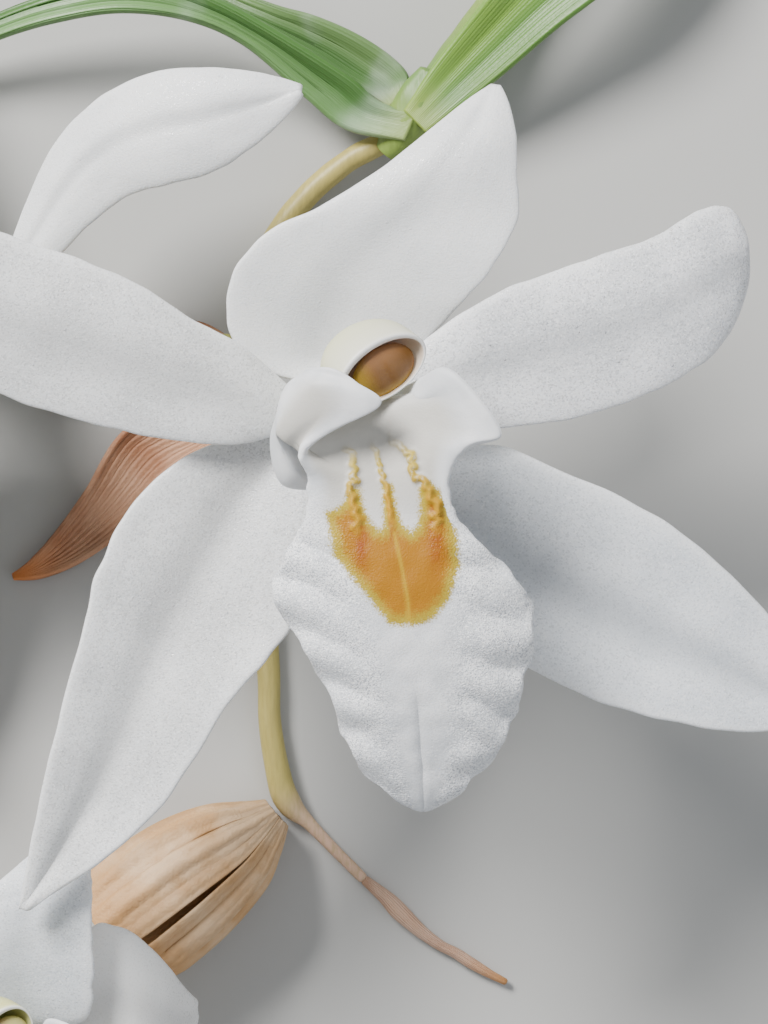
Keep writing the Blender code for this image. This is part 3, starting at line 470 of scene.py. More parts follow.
def normals_of(points):
    """The unit normals of a grid of points, along its rows' direction crossed with its columns'."""
    along = np.gradient(points, axis=0)
    across = np.gradient(points, axis=1)
    normals = np.cross(along, across)
    return normals / np.maximum(np.linalg.norm(normals, axis=2, keepdims=True), TINY)


def finish_object(name, vertices, faces, look, place, marks):
    mesh = bpy.data.meshes.new(name)
    mesh.from_pydata(vertices.tolist(), [], faces)
    for label, values in marks.items():
        mark = mesh.attributes.new(label, "FLOAT", "POINT")
        mark.data.foreach_set("value", values.astype(np.float32))
    mesh.validate()
    mesh.shade_smooth()
    mesh.materials.append(look)
    mesh.transform(place)
    made = bpy.data.objects.new(name, mesh)
    bpy.context.scene.collection.objects.link(made)
    return made


def settle(piece, slot, *nodes):
    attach(piece, "root")
    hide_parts(*nodes)


def grid_faces(rows, columns, first=0, turn=False):
    """Quads over a grid of rows by columns points, numbered from first."""
    index = first + np.arange(rows * columns).reshape(rows, columns)
    corners = [index[:-1, :-1], index[1:, :-1], index[1:, 1:], index[:-1, 1:]]
    quads = np.stack(corners, axis=2).reshape(-1, 4)
    return (quads[:, ::-1] if turn else quads).tolist()


def ring_faces(count, sides):
    """Quads between the neighbouring rings of a tube, and a face over each of its two ends."""
    faces = []
    for i in range(count - 1):
        for k in range(sides):
            ahead = (k + 1) % sides
            faces.append((i * sides + k, i * sides + ahead, (i + 1) * sides + ahead, (i + 1) * sides + k))
    faces.append(tuple(range(sides - 1, -1, -1)))
    faces.append(tuple((count - 1) * sides + k for k in range(sides)))
    return faces


def two_faced(name, front, back, look, place, marks):
    """A closed blade between two grids of points, its front and its back, joined by a rim."""
    rows, columns = front.shape[:2]
    count = rows * columns
    vertices = np.concatenate([front.reshape(-1, 3), back.reshape(-1, 3)]) * MM
    faces = grid_faces(rows, columns) + grid_faces(rows, columns, count, True)
    index = np.arange(count).reshape(rows, columns)
    ring = np.concatenate([index[0, :-1], index[:-1, -1], index[-1, :0:-1], index[:0:-1, 0]])
    for here, ahead in zip(ring.tolist(), np.roll(ring, -1).tolist()):
        faces.append((here, ahead, ahead + count, here + count))
    both = {label: np.tile(values.ravel(), 2) for label, values in marks.items()}
    return finish_object(name, vertices, faces, look, place, both)


def eased(count):
    """Values from -1 to 1, closer together towards both ends."""
    s = np.linspace(-1, 1, count)
    return (1 - EASE) * s + EASE * np.sin(math.pi * s / 2)


def blade_grid(cells):
    """Values from 0 to 1 along a blade and from -1 to 1 across it, and the same two over its whole grid."""
    u = np.linspace(0, 1, cells[0] + 1)
    v = eased(cells[1] + 1)
    return (u, v, *np.meshgrid(u, v, indexing="ij"))


def rounded(value, power):
    """1 over most of a blade, falling to 0 where the value reaches 1 or -1, as a round edge does."""
    return np.sqrt(np.clip(1 - value ** power, 0, 1))


def fade_out(along, pace):
    """0 at both ends of a blade and 1 between them."""
    return np.minimum(1, pace * np.minimum(along, 1 - along))


def both_sides(points, thick, rim, body):
    """The front and back of a blade: thick where its body is 1, and a share of that at its rim."""
    reach = normals_of(points) * (thick / 2 * (rim + (1 - rim) * body))[..., None]
    return points + reach, points - reach


def blade_points(stations, u, v, lift=0.0):
    """The middle surface of a blade on a grid of u by v, as in its solid."""
    rows = smooth(stations, u)
    left, right, middle = rows[:, None, 0:3], rows[:, None, 3:6], rows[:, 6, None]
    share = ((v + 1) / 2)[None, :, None]
    points = left * (1 - share) + right * share
    points[..., 2] += middle * (1 - v * v) + lift * np.hypot(points[..., 0], points[..., 1])
    return points


def tepal(name, stations, lift, crease, cells, seed, look, place):
    """A sepal or petal: soft swellings, faint veins, a crease along its middle and a thin uneven margin."""
    u, v, along, across = blade_grid(cells)
    points = blade_points(stations, u, v, lift)
    free = rise(along, 0.02, 0.25)
    length, half_width = TEPAL_SPAN
    place_mm = np.stack([along * length, across * half_width + seed, np.zeros_like(along)], axis=2)
    for added, height, wavelength in TEPAL_SWELLS:
        points[..., 2] += height * free * ripple(place_mm, wavelength, seed + added)
    where, depth, width = crease
    groove_and_shade = np.exp(-(((across - where) / width) ** 2)) * free * rise(1 - along, 0.0, 0.15)
    points[..., 2] -= depth * groove_and_shade
    veins = np.cos(across * math.pi * TEPAL_VEINS) * (1 - across ** 2) * free
    points[..., 2] += TEPAL_VEIN_HEIGHT * veins
    added, reach, wavelength = TEPAL_FRAY
    fray = reach * np.abs(across) ** 14 * free * ripple(place_mm, wavelength, seed + added)
    points += (points - points.mean(axis=1, keepdims=True)) * fray[..., None]
    front, back = both_sides(points, TEPAL_THICK, TEPAL_RIM, rounded(across, 10) * rounded(along, 30))
    marks = {"groove_and_shade": groove_and_shade, "margin": rise(np.abs(across), 0.8, 1.0)}
    return two_faced(name, front, back, look, place, marks)


def distance_to_line(xy, line, wavelength=0.0, swing=0.0):
    """How far each point lies from a line, which may zigzag, and how far along the line that is."""
    steps = smooth(line, np.linspace(0, 1, 260))
    run = np.concatenate([[0.0], np.cumsum(np.hypot(*np.diff(steps, axis=0).T))])
    if swing:
        heading = np.gradient(steps, axis=0)
        heading /= np.linalg.norm(heading, axis=1, keepdims=True)
        turn = run / wavelength
        for share, pace in CREST_DRIFT:
            turn = turn + share * np.sin(pace * run)
        mean, change, pace = CREST_SWELL
        swing = swing * (mean + change * np.sin(pace * run + 1))
        zigzag = swing * (2 * np.abs(2 * (turn - np.floor(turn + 0.5))) - 1)
        steps = steps + np.stack([-heading[:, 1], heading[:, 0]], axis=1) * zigzag[:, None]
    best = np.full(xy.shape[:-1], FAR_AWAY)
    far = np.zeros(xy.shape[:-1])
    for (x, y), length in zip(steps, run / run[-1]):
        gap = np.hypot(xy[..., 0] - x, xy[..., 1] - y)
        far = np.where(gap < best, length, far)
        best = np.minimum(best, gap)
    return best, far


def inside_depth(xy, outline):
    """How far inside a closed outline each point lies, and below zero outside it."""
    corners = np.asarray(outline, float)
    best = np.full(xy.shape[:-1], FAR_AWAY)
    inside = np.zeros(xy.shape[:-1], bool)
    for start, end in zip(corners, np.roll(corners, -1, axis=0)):
        edge = end - start
        share = np.clip(((xy - start) @ edge) / (edge @ edge), 0, 1)
        best = np.minimum(best, np.linalg.norm(xy - start - share[..., None] * edge, axis=-1))
        crosses = (start[1] > xy[..., 1]) != (end[1] > xy[..., 1])
        slope = np.where(crosses, (xy[..., 1] - start[1]) / (edge[1] if edge[1] else TINY), 0.0)
        inside ^= crosses & (xy[..., 0] < start[0] + slope * edge[0])
    return np.where(inside, best, -best)


def lip_points(cells):
    """The lip's back surface on a grid of cells, as in its solid, waved along the margin of its mid lobe."""
    u, v, along, across = blade_grid(cells)
    rows = smooth(np.transpose(np.asarray(LIP, float), (1, 0, 2)), (v + 1) / 2)
    points = smooth(np.transpose(rows, (1, 0, 2)), u)
    free = np.clip((along - MID_LOBE_START) * 8, 0, 1) * np.clip((1 - along) * 8, 0, 1)
    turn = 2 * math.pi * LIP_WAVES * (along - 0.5) * 2 + across
    points[..., 2] += LIP_WAVE_HEIGHT * free * across ** 4 * np.sin(turn)
    return points, along, across


def toothed(points, along, across):
    """How far the teeth of the lip's margin push each point out from the lip's middle."""
    length, apart = MARGIN_RUN
    run = np.stack([along * length, apart * np.sign(across), np.zeros_like(along)], axis=2)
    teeth = sum(share * ripple(run, pitch, seed) for seed, share, pitch in TOOTH_WAVES)
    rim = rise(np.abs(across), 0.86, 1.0) * rise(along, 0.36, 0.5) * rise(1 - along, 0.0, 0.05)
    outward = points - points[:, points.shape[1] // 2][:, None, :]
    outward /= np.maximum(np.linalg.norm(outward, axis=2, keepdims=True), TINY)
    return outward * (TOOTH_HEIGHT * rim * teeth)[..., None]


def crests(xy, gate):
    """How high the crests stand at each point, how much of one is there and how far along it that is."""
    raised, here, along = (np.zeros(gate.shape) for _ in range(3))
    for line, (width, height), (pitch, swing) in zip(CREST_LINES, CREST_SIZE, CREST_ZIGZAG):
        gap, far = distance_to_line(xy, line, pitch, swing)
        ridge = np.exp(-((gap / width) ** 2)) * gate
        raised = np.maximum(raised, ridge * height * rise(far, 0.0, 0.2) * rise(1 - far, 0.0, 0.3))
        along = np.where(ridge > here, far, along)
        here = np.maximum(here, ridge * rise(far, 0.0, 0.12))
    return raised, here, along


def lip(name, cells, look, place):
    """The lip: side lobes, a mid lobe with a toothed, waved margin and side folds, and zigzag crests."""
    points, along, across = lip_points(cells)
    flat = points.copy()
    x, y = flat[..., 0], flat[..., 1]
    beside = np.abs(across)
    free = rise(along, 0.50, 0.60) * rise(1 - along, 0.0, 0.08)
    points += toothed(points, along, across)
    flank = np.exp(-(((beside - FOLD_PLACE) / FOLD_WIDTH) ** 2)) * free
    sway = y + FOLD_SLANT * np.abs(x - MID_LOBE_X) * np.sign(across)
    seed, turn, wavelength = FOLD_WANDER
    fold = np.sin(2 * math.pi * sway / FOLD_PITCH + across + turn * ripple(flat, wavelength, seed))
    points[..., 2] += FOLD_HEIGHT * flank * fold
    seed, height, wavelength = LIP_SWELL
    points[..., 2] += height * free * ripple(flat, wavelength, seed)
    groove_and_shade = np.exp(-(((across - LIP_MIDDLE) / LIP_GROOVE_WIDTH) ** 2)) * rise(along, 0.76, 0.86)
    points[..., 2] -= LIP_GROOVE_DEPTH * groove_and_shade * rise(1 - along, 0.0, 0.04)
    gate = rise(along, 0.26, 0.34) * rise(1.0 - beside, 0.10, 0.2)
    raised, crest, crest_far = crests(flat[..., :2], gate)
    edge = rounded(across, 14) * rounded(along, 40)
    normals = normals_of(points)
    front = points + normals * (LIP_THICK * (LIP_RIM + (1 - LIP_RIM) * edge) + raised)[..., None]
    back = points + normals * (LIP_THICK * LIP_RIM * (1 - edge))[..., None]
    rust = np.zeros_like(along)
    for spot_x, spot_y, wide, tall in RUST_SPOTS:
        rust = np.maximum(rust, np.exp(-(((x - spot_x) / wide) ** 2) - ((y - spot_y) / tall) ** 2))
    pale_gap, _ = distance_to_line(flat[..., :2], PALE_LINE)
    marks = {
        "disc": inside_depth(flat[..., :2], DISC_OUTLINE) * gate - 5 * (1 - gate),
        "crest": crest,
        "crest_far": crest_far,
        "rust": rust,
        "groove_and_shade": groove_and_shade,
        "pale_line": np.exp(-((pale_gap / PALE_LINE_WIDTH) ** 2)) * gate,
        "crystal": rise(along, 0.44, 0.60) * (0.25 + 0.75 * rise(np.abs(across - LIP_MIDDLE), 0.18, 0.45)),
        "throat": rise(along, 0.22, 0.30) * (1 - rise(along, 0.46, 0.60)) * (1 - rise(beside, 0.62, 0.85)),
    }
    return two_faced(name, front, back, look, place, marks)


def rim_frame(lean):
    """The wide, deep and facing directions of a ring that leans this far towards the facing of the rim."""
    facing = Vector((0, 0, 1)).lerp(COLUMN_RIM_FACING, lean).normalized()
    wide = Vector((math.cos(COLUMN_RIM_TURN), math.sin(COLUMN_RIM_TURN), 0.0))
    wide = (wide - facing * wide.dot(facing)).normalized()
    return wide, facing.cross(wide), facing


def column(name, look, place):
    """The column: a smooth stem that opens into the hood, a thin rim and the anther cap's hollow."""
    outside, inside = COLUMN_STEPS
    outer = smooth(COLUMN_OUTSIDE, np.linspace(0, 1, outside))
    inner = smooth(COLUMN_INSIDE, np.linspace(0, 1, inside))
    turns = np.linspace(0, 2 * math.pi, COLUMN_SIDES, endpoint=False)[:, None]
    rows = []
    for x, y, z, half_width, half_depth, lean in (*outer, COLUMN_RIM, *inner):
        wide, deep, _ = rim_frame(lean)
        spread = half_width * np.cos(turns) * np.array(wide) + half_depth * np.sin(turns) * np.array(deep)
        rows.append(np.array((x, y, z)) + spread)
    step = np.arange(len(rows))
    marks = {
        "along": step / (len(rows) - 1),
        "rim": np.exp(-((step - outside) / 1.3) ** 2),
        "inside": (step > outside).astype(float),
    }
    marks = {label: np.repeat(values, COLUMN_SIDES) for label, values in marks.items()}
    faces = ring_faces(len(rows), COLUMN_SIDES)
    return finish_object(name, np.concatenate(rows) * MM, faces, look, place, marks)


def anther_cap(name, look, place):
    """The rounded cap in the hood's hollow, with the faint furrow between its two halves."""
    bm = bmesh.new()
    bmesh.ops.create_uvsphere(bm, u_segments=ANTHER_CELLS[0], v_segments=ANTHER_CELLS[1], radius=1.0)
    local = np.array([vertex.co for vertex in bm.verts])
    faces = [tuple(vertex.index for vertex in face.verts) for face in bm.faces]
    bm.free()
    local[:, 2] *= 1 - FURROW_DEPTH * np.exp(-((local[:, 0] / FURROW_WIDTH) ** 2)) * (local[:, 2] > 0)
    spread = (local * ANTHER_RADII) @ np.array(rim_frame(1.0))
    marks = {"wide": local[:, 0], "deep": local[:, 1]}
    return finish_object(name, (np.array(ANTHER_PLACE) + spread) * MM, faces, look, place, marks)


def tube(name, points, sides, steps, look, ribs=0, rib_height=0.0):
    """A round stem along a smooth curve, narrowing a little at each end and closed there flat, kept from
    going below z = 0 as its solid is.
    """
    t = np.linspace(0, 1, steps)
    rows = smooth(points, t)
    heading = np.gradient(rows[:, :3], axis=0)
    heading /= np.linalg.norm(heading, axis=1, keepdims=True)
    side = np.cross(heading, (0.0, 0.0, 1.0))
    weak = np.linalg.norm(side, axis=1) < 0.2
    side[weak] = np.cross(heading[weak], (0.3, 1.0, 0.0))
    for i in range(1, steps):
        if side[i] @ side[i - 1] < 0:
            side[i] = -side[i]
    side /= np.linalg.norm(side, axis=1, keepdims=True)
    up = np.cross(side, heading)
    turns = np.linspace(0, 2 * math.pi, sides, endpoint=False)
    close = 1 - 0.35 * np.exp(-((t * steps) / 1.2) ** 2) - 0.35 * np.exp(-(((1 - t) * steps) / 1.2) ** 2)
    wave = 1 + rib_height * np.cos(ribs * turns)[None, :] * rise(t, 0.3, 0.6)[:, None]
    reach = (rows[:, 3] * close)[:, None] * wave
    ring = side[:, None, :] * np.cos(turns)[None, :, None] + up[:, None, :] * np.sin(turns)[None, :, None]
    skin = rows[:, None, :3] + ring * reach[..., None]
    seed, height, wavelength = TUBE_SWELL
    skin += ring * (height * ripple(skin, wavelength, seed))[..., None]
    skin[..., 2] = np.maximum(skin[..., 2], 0.0)
    marks = {"along": np.repeat(t, sides), "across": np.tile(turns / math.pi - 1, steps)}
    return finish_object(name, skin.reshape(-1, 3) * MM, ring_faces(steps, sides), look, Matrix(), marks)


def leaf(name, stations, look):
    """A leaf pleated along its parallel veins, bowed across its middle, with a thin margin."""
    u, v, along, across = blade_grid(LEAF_CELLS)
    points = blade_points(stations, u, v)
    fade = fade_out(along, 4)
    points[..., 2] += LEAF_PLEAT_HEIGHT * fade * np.cos(math.pi * LEAF_PLEATS * across)
    points[..., 2] += LEAF_VEIN_HEIGHT * fade * np.cos(math.pi * LEAF_VEINS * across)
    front, back = both_sides(points, LEAF_THICK, THIN_RIM, rounded(across, 12))
    if front[..., 2].mean() < back[..., 2].mean():
        front, back = back, front
    return two_faced(name, front, back, look, Matrix(), {"along": along, "across": across})


def bract(name, stations, cells, roll, ribbed, look):
    """A papery bract: a ribbed trough with fine veins and a thin margin."""
    u, _, along, across = blade_grid(cells)
    rows = smooth(stations, u)
    step = 0.02
    ahead, behind = (smooth(stations, np.clip(u + way, 0.0, 1.0))[:, :3] for way in (step, -step))
    heading = ahead - behind
    side = np.stack([-heading[:, 1], heading[:, 0], np.zeros(len(u))], axis=1)
    side /= np.linalg.norm(side, axis=1, keepdims=True)
    angle = np.radians(rows[:, 5])[:, None] * across + roll
    fade = ribbed * fade_out(along, 5) / 2
    rib = 1 + BRACT_RIB_HEIGHT * np.cos(2 * math.pi * BRACT_RIBS * across) * fade
    rib += BRACT_VEIN_HEIGHT * np.cos(2 * math.pi * BRACT_VEINS * across + 2 * along) * fade
    points = rows[:, None, :3] + side[:, None, :] * (rows[:, 3, None] * rib * np.sin(angle))[..., None]
    points[..., 2] -= rows[:, 4, None] * rib * np.cos(angle)
    front, back = both_sides(points, BRACT_THICK, THIN_RIM, rounded(across, 12))
    front[..., 2] = np.maximum(front[..., 2], 0.0)
    back[..., 2] = np.maximum(back[..., 2], 0.0)
    return two_faced(name, front, back, look, Matrix(), {"along": along, "across": across})


class Look:
    """A node material round one Principled shader, with short calls for the nodes that feed it."""

    def __init__(self, name, roughness, subsurface=0.0, specular=0.5):
        self.material = bpy.data.materials.new(name)
        self.material.use_nodes = True
        self.nodes = self.material.node_tree.nodes
        self.links = self.material.node_tree.links
        self.shader = self.nodes["Principled BSDF"]
        self.shader.inputs["Roughness"].default_value = roughness
        self.shader.inputs["Specular IOR Level"].default_value = specular
        self.shader.inputs["Subsurface Weight"].default_value = subsurface
        self.shader.inputs["Subsurface Radius"].default_value = (1.0, 0.9, 0.8)
        self.shader.inputs["Subsurface Scale"].default_value = 0.0012
        self.place = self.nodes.new("ShaderNodeTexCoord").outputs["Object"]

    def put(self, socket, value):
        if isinstance(value, bpy.types.NodeSocket):
            self.links.new(value, socket)
        elif isinstance(value, tuple) and len(value) == 3 and socket.type == "RGBA":
            socket.default_value = (*value, 1.0)
        else:
            socket.default_value = value

    def node(self, kind, out, **inputs):
        made = self.nodes.new(kind)
        for label, value in inputs.items():
            self.put(made.inputs[label], value)
        return made.outputs[out]

    def mark(self, name):
        made = self.nodes.new("ShaderNodeAttribute")
        made.attribute_name = name
        return made.outputs["Fac"]

    def noise(self, per_mm, detail=2.0, stretch=None):
        place = self.place
        if stretch:
            place = self.node("ShaderNodeMapping", "Vector", Vector=place, Scale=stretch)
        return self.node("ShaderNodeTexNoise", "Fac", Vector=place, Scale=per_mm * 1000, Detail=detail)

    def cells(self, per_mm, out="Distance"):
        return self.node("ShaderNodeTexVoronoi", out, Vector=self.place, Scale=per_mm * 1000)

    def math(self, operation, a, b=0.0):
        made = self.nodes.new("ShaderNodeMath")
        made.operation = operation
        self.put(made.inputs[0], a)
        self.put(made.inputs[1], b)
        return made.outputs[0]

    def times(self, a, b):
        return self.math("MULTIPLY", a, b)

    def plus(self, a, b):
        return self.math("ADD", a, b)

    def span(self, value, low, high, start=0.0, end=1.0):
        """Start where the value is at low, end where it is at high, and a smooth step between."""
        made = self.nodes.new("ShaderNodeMapRange")
        made.interpolation_type = "SMOOTHSTEP"
        labels = ("Value", "From Min", "From Max", "To Min", "To Max")
        for label, number in zip(labels, (value, low, high, start, end)):
            self.put(made.inputs[label], number)
        return made.outputs["Result"]

    def mix(self, factor, a, b):
        made = self.nodes.new("ShaderNodeMix")
        made.data_type = "RGBA"
        self.put(made.inputs["Factor"], factor)
        self.put(made.inputs[MIX_A], a)
        self.put(made.inputs[MIX_B], b)
        return made.outputs[MIX_RESULT]

    def finish(self, colour, height=None, depth=0.00004, roughness=None):
        self.put(self.shader.inputs["Base Color"], colour)
        if roughness is not None:
            self.put(self.shader.inputs["Roughness"], roughness)
        if height is not None:
            bump = self.node("ShaderNodeBump", "Normal", Height=height, Distance=depth, Strength=0.9)
            self.put(self.shader.inputs["Normal"], bump)
        return self.material


def darker(colour, share):
    return tuple(share * part for part in colour)


def tepal_look(name, bright, shade, grain, glint):
    """Fresh white petal: even crystal grain, painted glints on its brightest flecks, a few dewy glints, and
    painted shade in its trough.
    """
    look = Look(name, 0.5, 0.35)
    fine = look.noise(6.5, 1.0)
    broad = look.noise(0.16, 3.0)
    flecks = look.node("ShaderNodeSeparateColor", "Red", Color=look.cells(8.0, "Color"))
    soft = look.span(broad, 0.35, 0.70)
    colour = look.mix(look.times(soft, 0.6), bright, shade)
    speck = look.times(look.span(flecks, 0.55, 1.0), grain)
    colour = look.mix(look.times(speck, 0.8), colour, darker(shade, 0.55))
    # Painted glints: the brightest crystal flecks are painted near white.
    painted_glint = look.times(look.span(flecks, 0.18, 0.0), grain)
    colour = look.mix(painted_glint, colour, (0.95, 0.96, 0.97))
    # Painted shade: the crease along the tepal's middle is painted towards a darker grey.
    colour = look.mix(look.times(look.mark("groove_and_shade"), 0.55), colour, darker(shade, 0.70))
    colour = look.mix(look.times(look.mark("margin"), 0.4), colour, (0.90, 0.91, 0.92))
    bead = look.span(look.cells(1.3), 0.15, 0.09)
    bead = look.times(bead, look.span(broad, 0.50, 0.62))
    height = look.plus(look.times(fine, 0.7), look.times(bead, glint))
    shine = look.span(flecks, 0.80, 0.95, 0.50, 0.18)
    return look.finish(colour, height, 0.00007, shine)


def lip_look(name):
    """The lip: crystal white with painted glints, a throat painted grey-cream as shade, painted shade along
    its middle crease, the yellow and rust disc, and the yellow crests.
    """
    look = Look(name, 0.5, 0.16, 0.35)
    look.shader.inputs["Subsurface Scale"].default_value = 0.0005
    fine = look.noise(7.0, 1.0)
    coarse = look.noise(2.2, 2.0)
    broad = look.noise(0.30, 3.0)
    flecks = look.node("ShaderNodeSeparateColor", "Red", Color=look.cells(11.0, "Color"))
    crystal = look.mark("crystal")
    patch = look.span(broad, 0.30, 0.62, 0.35, 1.0)
    dark = look.times(look.span(flecks, 0.55, 1.0), look.times(crystal, patch))
    # Painted glints: bright marks the brightest crystal flecks, which are painted near white and made less
    # rough.
    bright = look.times(look.span(flecks, 0.32, 0.05), crystal)
    colour = look.mix(look.span(broad, 0.35, 0.65), (0.66, 0.68, 0.71), (0.80, 0.81, 0.83))
    colour = look.mix(look.times(dark, 0.8), colour, (0.28, 0.30, 0.34))
    colour = look.mix(bright, colour, (0.95, 0.96, 0.97))
    # Painted shade: the throat inside the side lobes is painted a darker grey-cream.
    colour = look.mix(look.times(look.mark("throat"), 0.85), colour, (0.52, 0.50, 0.45))
    # Painted shade: the crease along the mid lobe's middle is painted a darker grey.
    colour = look.mix(look.times(look.mark("groove_and_shade"), 0.6), colour, (0.34, 0.35, 0.36))
    rough = look.times(look.math("SUBTRACT", fine, 0.5), 0.9)
    ragged = look.plus(look.mark("disc"), rough)
    ragged = look.plus(ragged, look.times(look.math("SUBTRACT", coarse, 0.5), 0.5))
    colour = look.mix(look.span(ragged, -0.35, 0.15, 0.0, 0.97), colour, (0.40, 0.29, 0.0))
    colour = look.mix(look.span(ragged, 0.15, 1.1), colour, (0.35, 0.145, 0.0))
    rust = look.times(look.mark("rust"), look.span(ragged, -0.2, 0.3))
    rust = look.times(rust, look.span(coarse, 0.2, 0.6, 0.3, 1.0))
    colour = look.mix(rust, colour, (0.27, 0.055, 0.0))
    line = look.times(look.mark("pale_line"), look.span(ragged, -0.3, 0.2))
    colour = look.mix(look.times(line, 0.8), colour, (0.48, 0.31, 0.01))
    far = look.mark("crest_far")
    crest = look.times(look.span(look.mark("crest"), 0.12, 0.5), look.span(far, 0.02, 0.30))
    yellow = look.mix(look.span(far, 0.25, 0.7), (0.50, 0.38, 0.06), (0.46, 0.25, 0.01))
    broken = look.times(look.span(far, 1.0, 0.8), look.span(coarse, 0.30, 0.55, 0.35, 1.0))
    colour = look.mix(look.times(crest, broken), colour, yellow)
    height = look.plus(look.times(fine, look.plus(crystal, 0.2)), look.times(coarse, 0.3))
    shine = look.math("SUBTRACT", 0.52, look.times(bright, 0.32))
    return look.finish(colour, height, 0.00007, shine)


def column_look(name, green, cream, hollow, stem):
    """Waxy column: creamy green at the crown of its hood, a thin white rim and a tinted hollow."""
    look = Look(name, 0.42, 0.3)
    soft = look.noise(0.3, 2.0)
    colour = look.mix(soft, green, cream)
    colour = look.mix(look.span(look.mark("along"), 0.45, 0.64), colour, stem)
    colour = look.mix(look.mark("inside"), colour, hollow)
    colour = look.mix(look.mark("rim"), colour, (0.86, 0.86, 0.84))
    return look.finish(colour, look.noise(3.0, 3.0), 0.00002)


def anther_look(name, dark, light):
    """Anther cap: its middle tone, pinkish towards the top and mustard at its left and lower edges."""
    look = Look(name, 0.38, 0.25)
    soft = look.noise(0.9, 3.0)
    colour = look.mix(soft, dark, light)
    top = look.span(look.mark("deep"), 0.1, 0.9)
    colour = look.mix(look.times(top, 0.8), colour, (0.30, 0.15, 0.07))
    left = look.span(look.mark("wide"), -0.2, -0.85)
    colour = look.mix(look.times(left, 0.9), colour, (0.34, 0.22, 0.02))
    low = look.span(look.mark("deep"), -0.35, -0.9)
    colour = look.mix(look.times(low, 0.8), colour, (0.42, 0.25, 0.02))
    return look.finish(colour, look.noise(6.0, 2.0), 0.00003)


def stalk_look(name, fresh, dry, start, end):
    """Waxy stalk that turns from one colour to another along its length, with fine streaks: drier on the
    flower stalk's tail, darker green towards the leaf bases on the sheath.
    """
    look = Look(name, 0.45, 0.1)
    streaks = look.noise(1.2, 4.0, (3.0, 0.5, 3.0))
    colour = look.mix(look.span(look.mark("along"), start, end), fresh, dry)
    colour = look.mix(look.span(streaks, 0.35, 0.75, 0.0, 0.45), colour, darker(fresh, 0.7))
    return look.finish(colour, streaks, 0.00004)


def leaf_look(name, left, right, stripe, sheen):
    """Pleated leaf: two greens either side of its middle, the darker one painted shade, fine parallel veins
    and patches of painted sheen.
    """
    look = Look(name, 0.42, 0.12, 0.5)
    across = look.mark("across")
    broad = look.noise(0.12, 3.0)
    # Painted shade: one half of the leaf, beside its middle, takes the darker of its two greens.
    colour = look.mix(look.span(across, -0.35, 0.25), left, right)
    veins = look.math("SINE", look.times(across, 70.0))
    colour = look.mix(look.times(look.span(veins, 0.3, 1.0), 0.12), colour, stripe)
    # Painted sheen: pale patches where the broad noise is high take the sheen colour.
    colour = look.mix(look.span(broad, 0.5, 0.75, 0.0, 0.55), colour, sheen)
    colour = look.mix(look.span(look.mark("along"), 0.12, 0.0, 0.0, 0.6), colour, (0.30, 0.38, 0.06))
    height = look.plus(look.times(veins, 0.3), look.noise(3.0, 3.0))
    return look.finish(colour, height, 0.00003)


def bract_look(name, pale, deep, tip, veined=0.35):
    """Dry papery bract: lengthwise veins, mottled tan and a rusty tip."""
    look = Look(name, 0.6, 0.2, 0.35)
    across = look.mark("across")
    wobble = look.times(look.noise(0.5, 2.0), 5.0)
    veins = look.math("SINE", look.plus(look.times(across, 62.0), wobble))
    colour = look.mix(look.span(look.noise(0.25, 4.0), 0.35, 0.7), pale, deep)
    colour = look.mix(look.times(look.span(veins, 0.2, 1.0), veined), colour, darker(deep, 0.6))
    colour = look.mix(look.span(look.mark("along"), 0.62, 1.0, 0.0, 0.9), colour, tip)
    height = look.plus(look.times(veins, 1.7 * veined), look.noise(4.0, 3.0))
    return look.finish(colour, height, 0.00010)


def bloom_place(where):
    """The bloom's own frame, from its base and its tilt."""
    base, tilt_x, tilt_y = where
    tilt = Matrix.Rotation(math.radians(tilt_y), 4, "Y") @ Matrix.Rotation(math.radians(tilt_x), 4, "X")
    return Matrix.Translation(Vector(base) * MM) @ tilt


def pedicel_points(start, bend, where):
    """The pedicel and ovary: up from the stalk, then swelling under the bloom's base along its own axis."""
    base, facing = Vector(where[0]), bloom_place(where).to_3x3() @ Vector((0, 0, 1))
    low = base - facing * (OVARY_LENGTH + PEDICEL_NECK)
    low.xy = low.xy.lerp(Vector(bend).xy, PEDICEL_SLANT)
    above = [base + facing * height for height in (-OVARY_LENGTH, -RECEPTACLE_DEPTH, RECEPTACLE_DEPTH)]
    return [(*place, radius) for place, radius in zip((start, bend, low, *above), PEDICEL_RADII)]


def bloom(prefix, where, tepals, cells, lip_turn, looks, hood="column", cap="anther"):
    """All but the pedicel of one bloom. Its tepals come in the order of TEPAL_NAMES."""
    place = bloom_place(where)
    tepal_cells, lip_cells = cells
    for seed, (piece, (stations, turn, lift, crease, look)) in enumerate(zip(TEPAL_NAMES, tepals)):
        turned = place @ Matrix.Rotation(math.radians(turn), 4, "Z")
        name = f"{prefix}_{piece}"
        seed += 3 * len(prefix)
        made = tepal(name + "_blade", stations, lift, crease, tepal_cells, seed, looks[look], turned)
        settle(made, "white_tepal", name)
    turned = place @ Matrix.Rotation(math.radians(lip_turn), 4, "Z")
    settle(lip(f"{prefix}_lip_blade", lip_cells, looks["lip"], turned), "white_lip", f"{prefix}_lip")
    settle(column(f"{prefix}_column_hood", looks[hood], turned), "cream_column", f"{prefix}_column")
    made = anther_cap(f"{prefix}_anther_cap_fine", looks[cap], turned)
    settle(made, "brown_anther", f"{prefix}_anther_cap")


def area_light(name, place, aim, size, watts, colour):
    light = bpy.data.lights.new(name, "AREA")
    light.shape = "DISK"
    light.size = size
    light.energy = watts
    light.color = colour
    made = bpy.data.objects.new(name, light)
    made.location = place
    made.rotation_euler = (Vector(aim) - Vector(place)).to_track_quat("-Z", "Y").to_euler()
    bpy.context.scene.collection.objects.link(made)


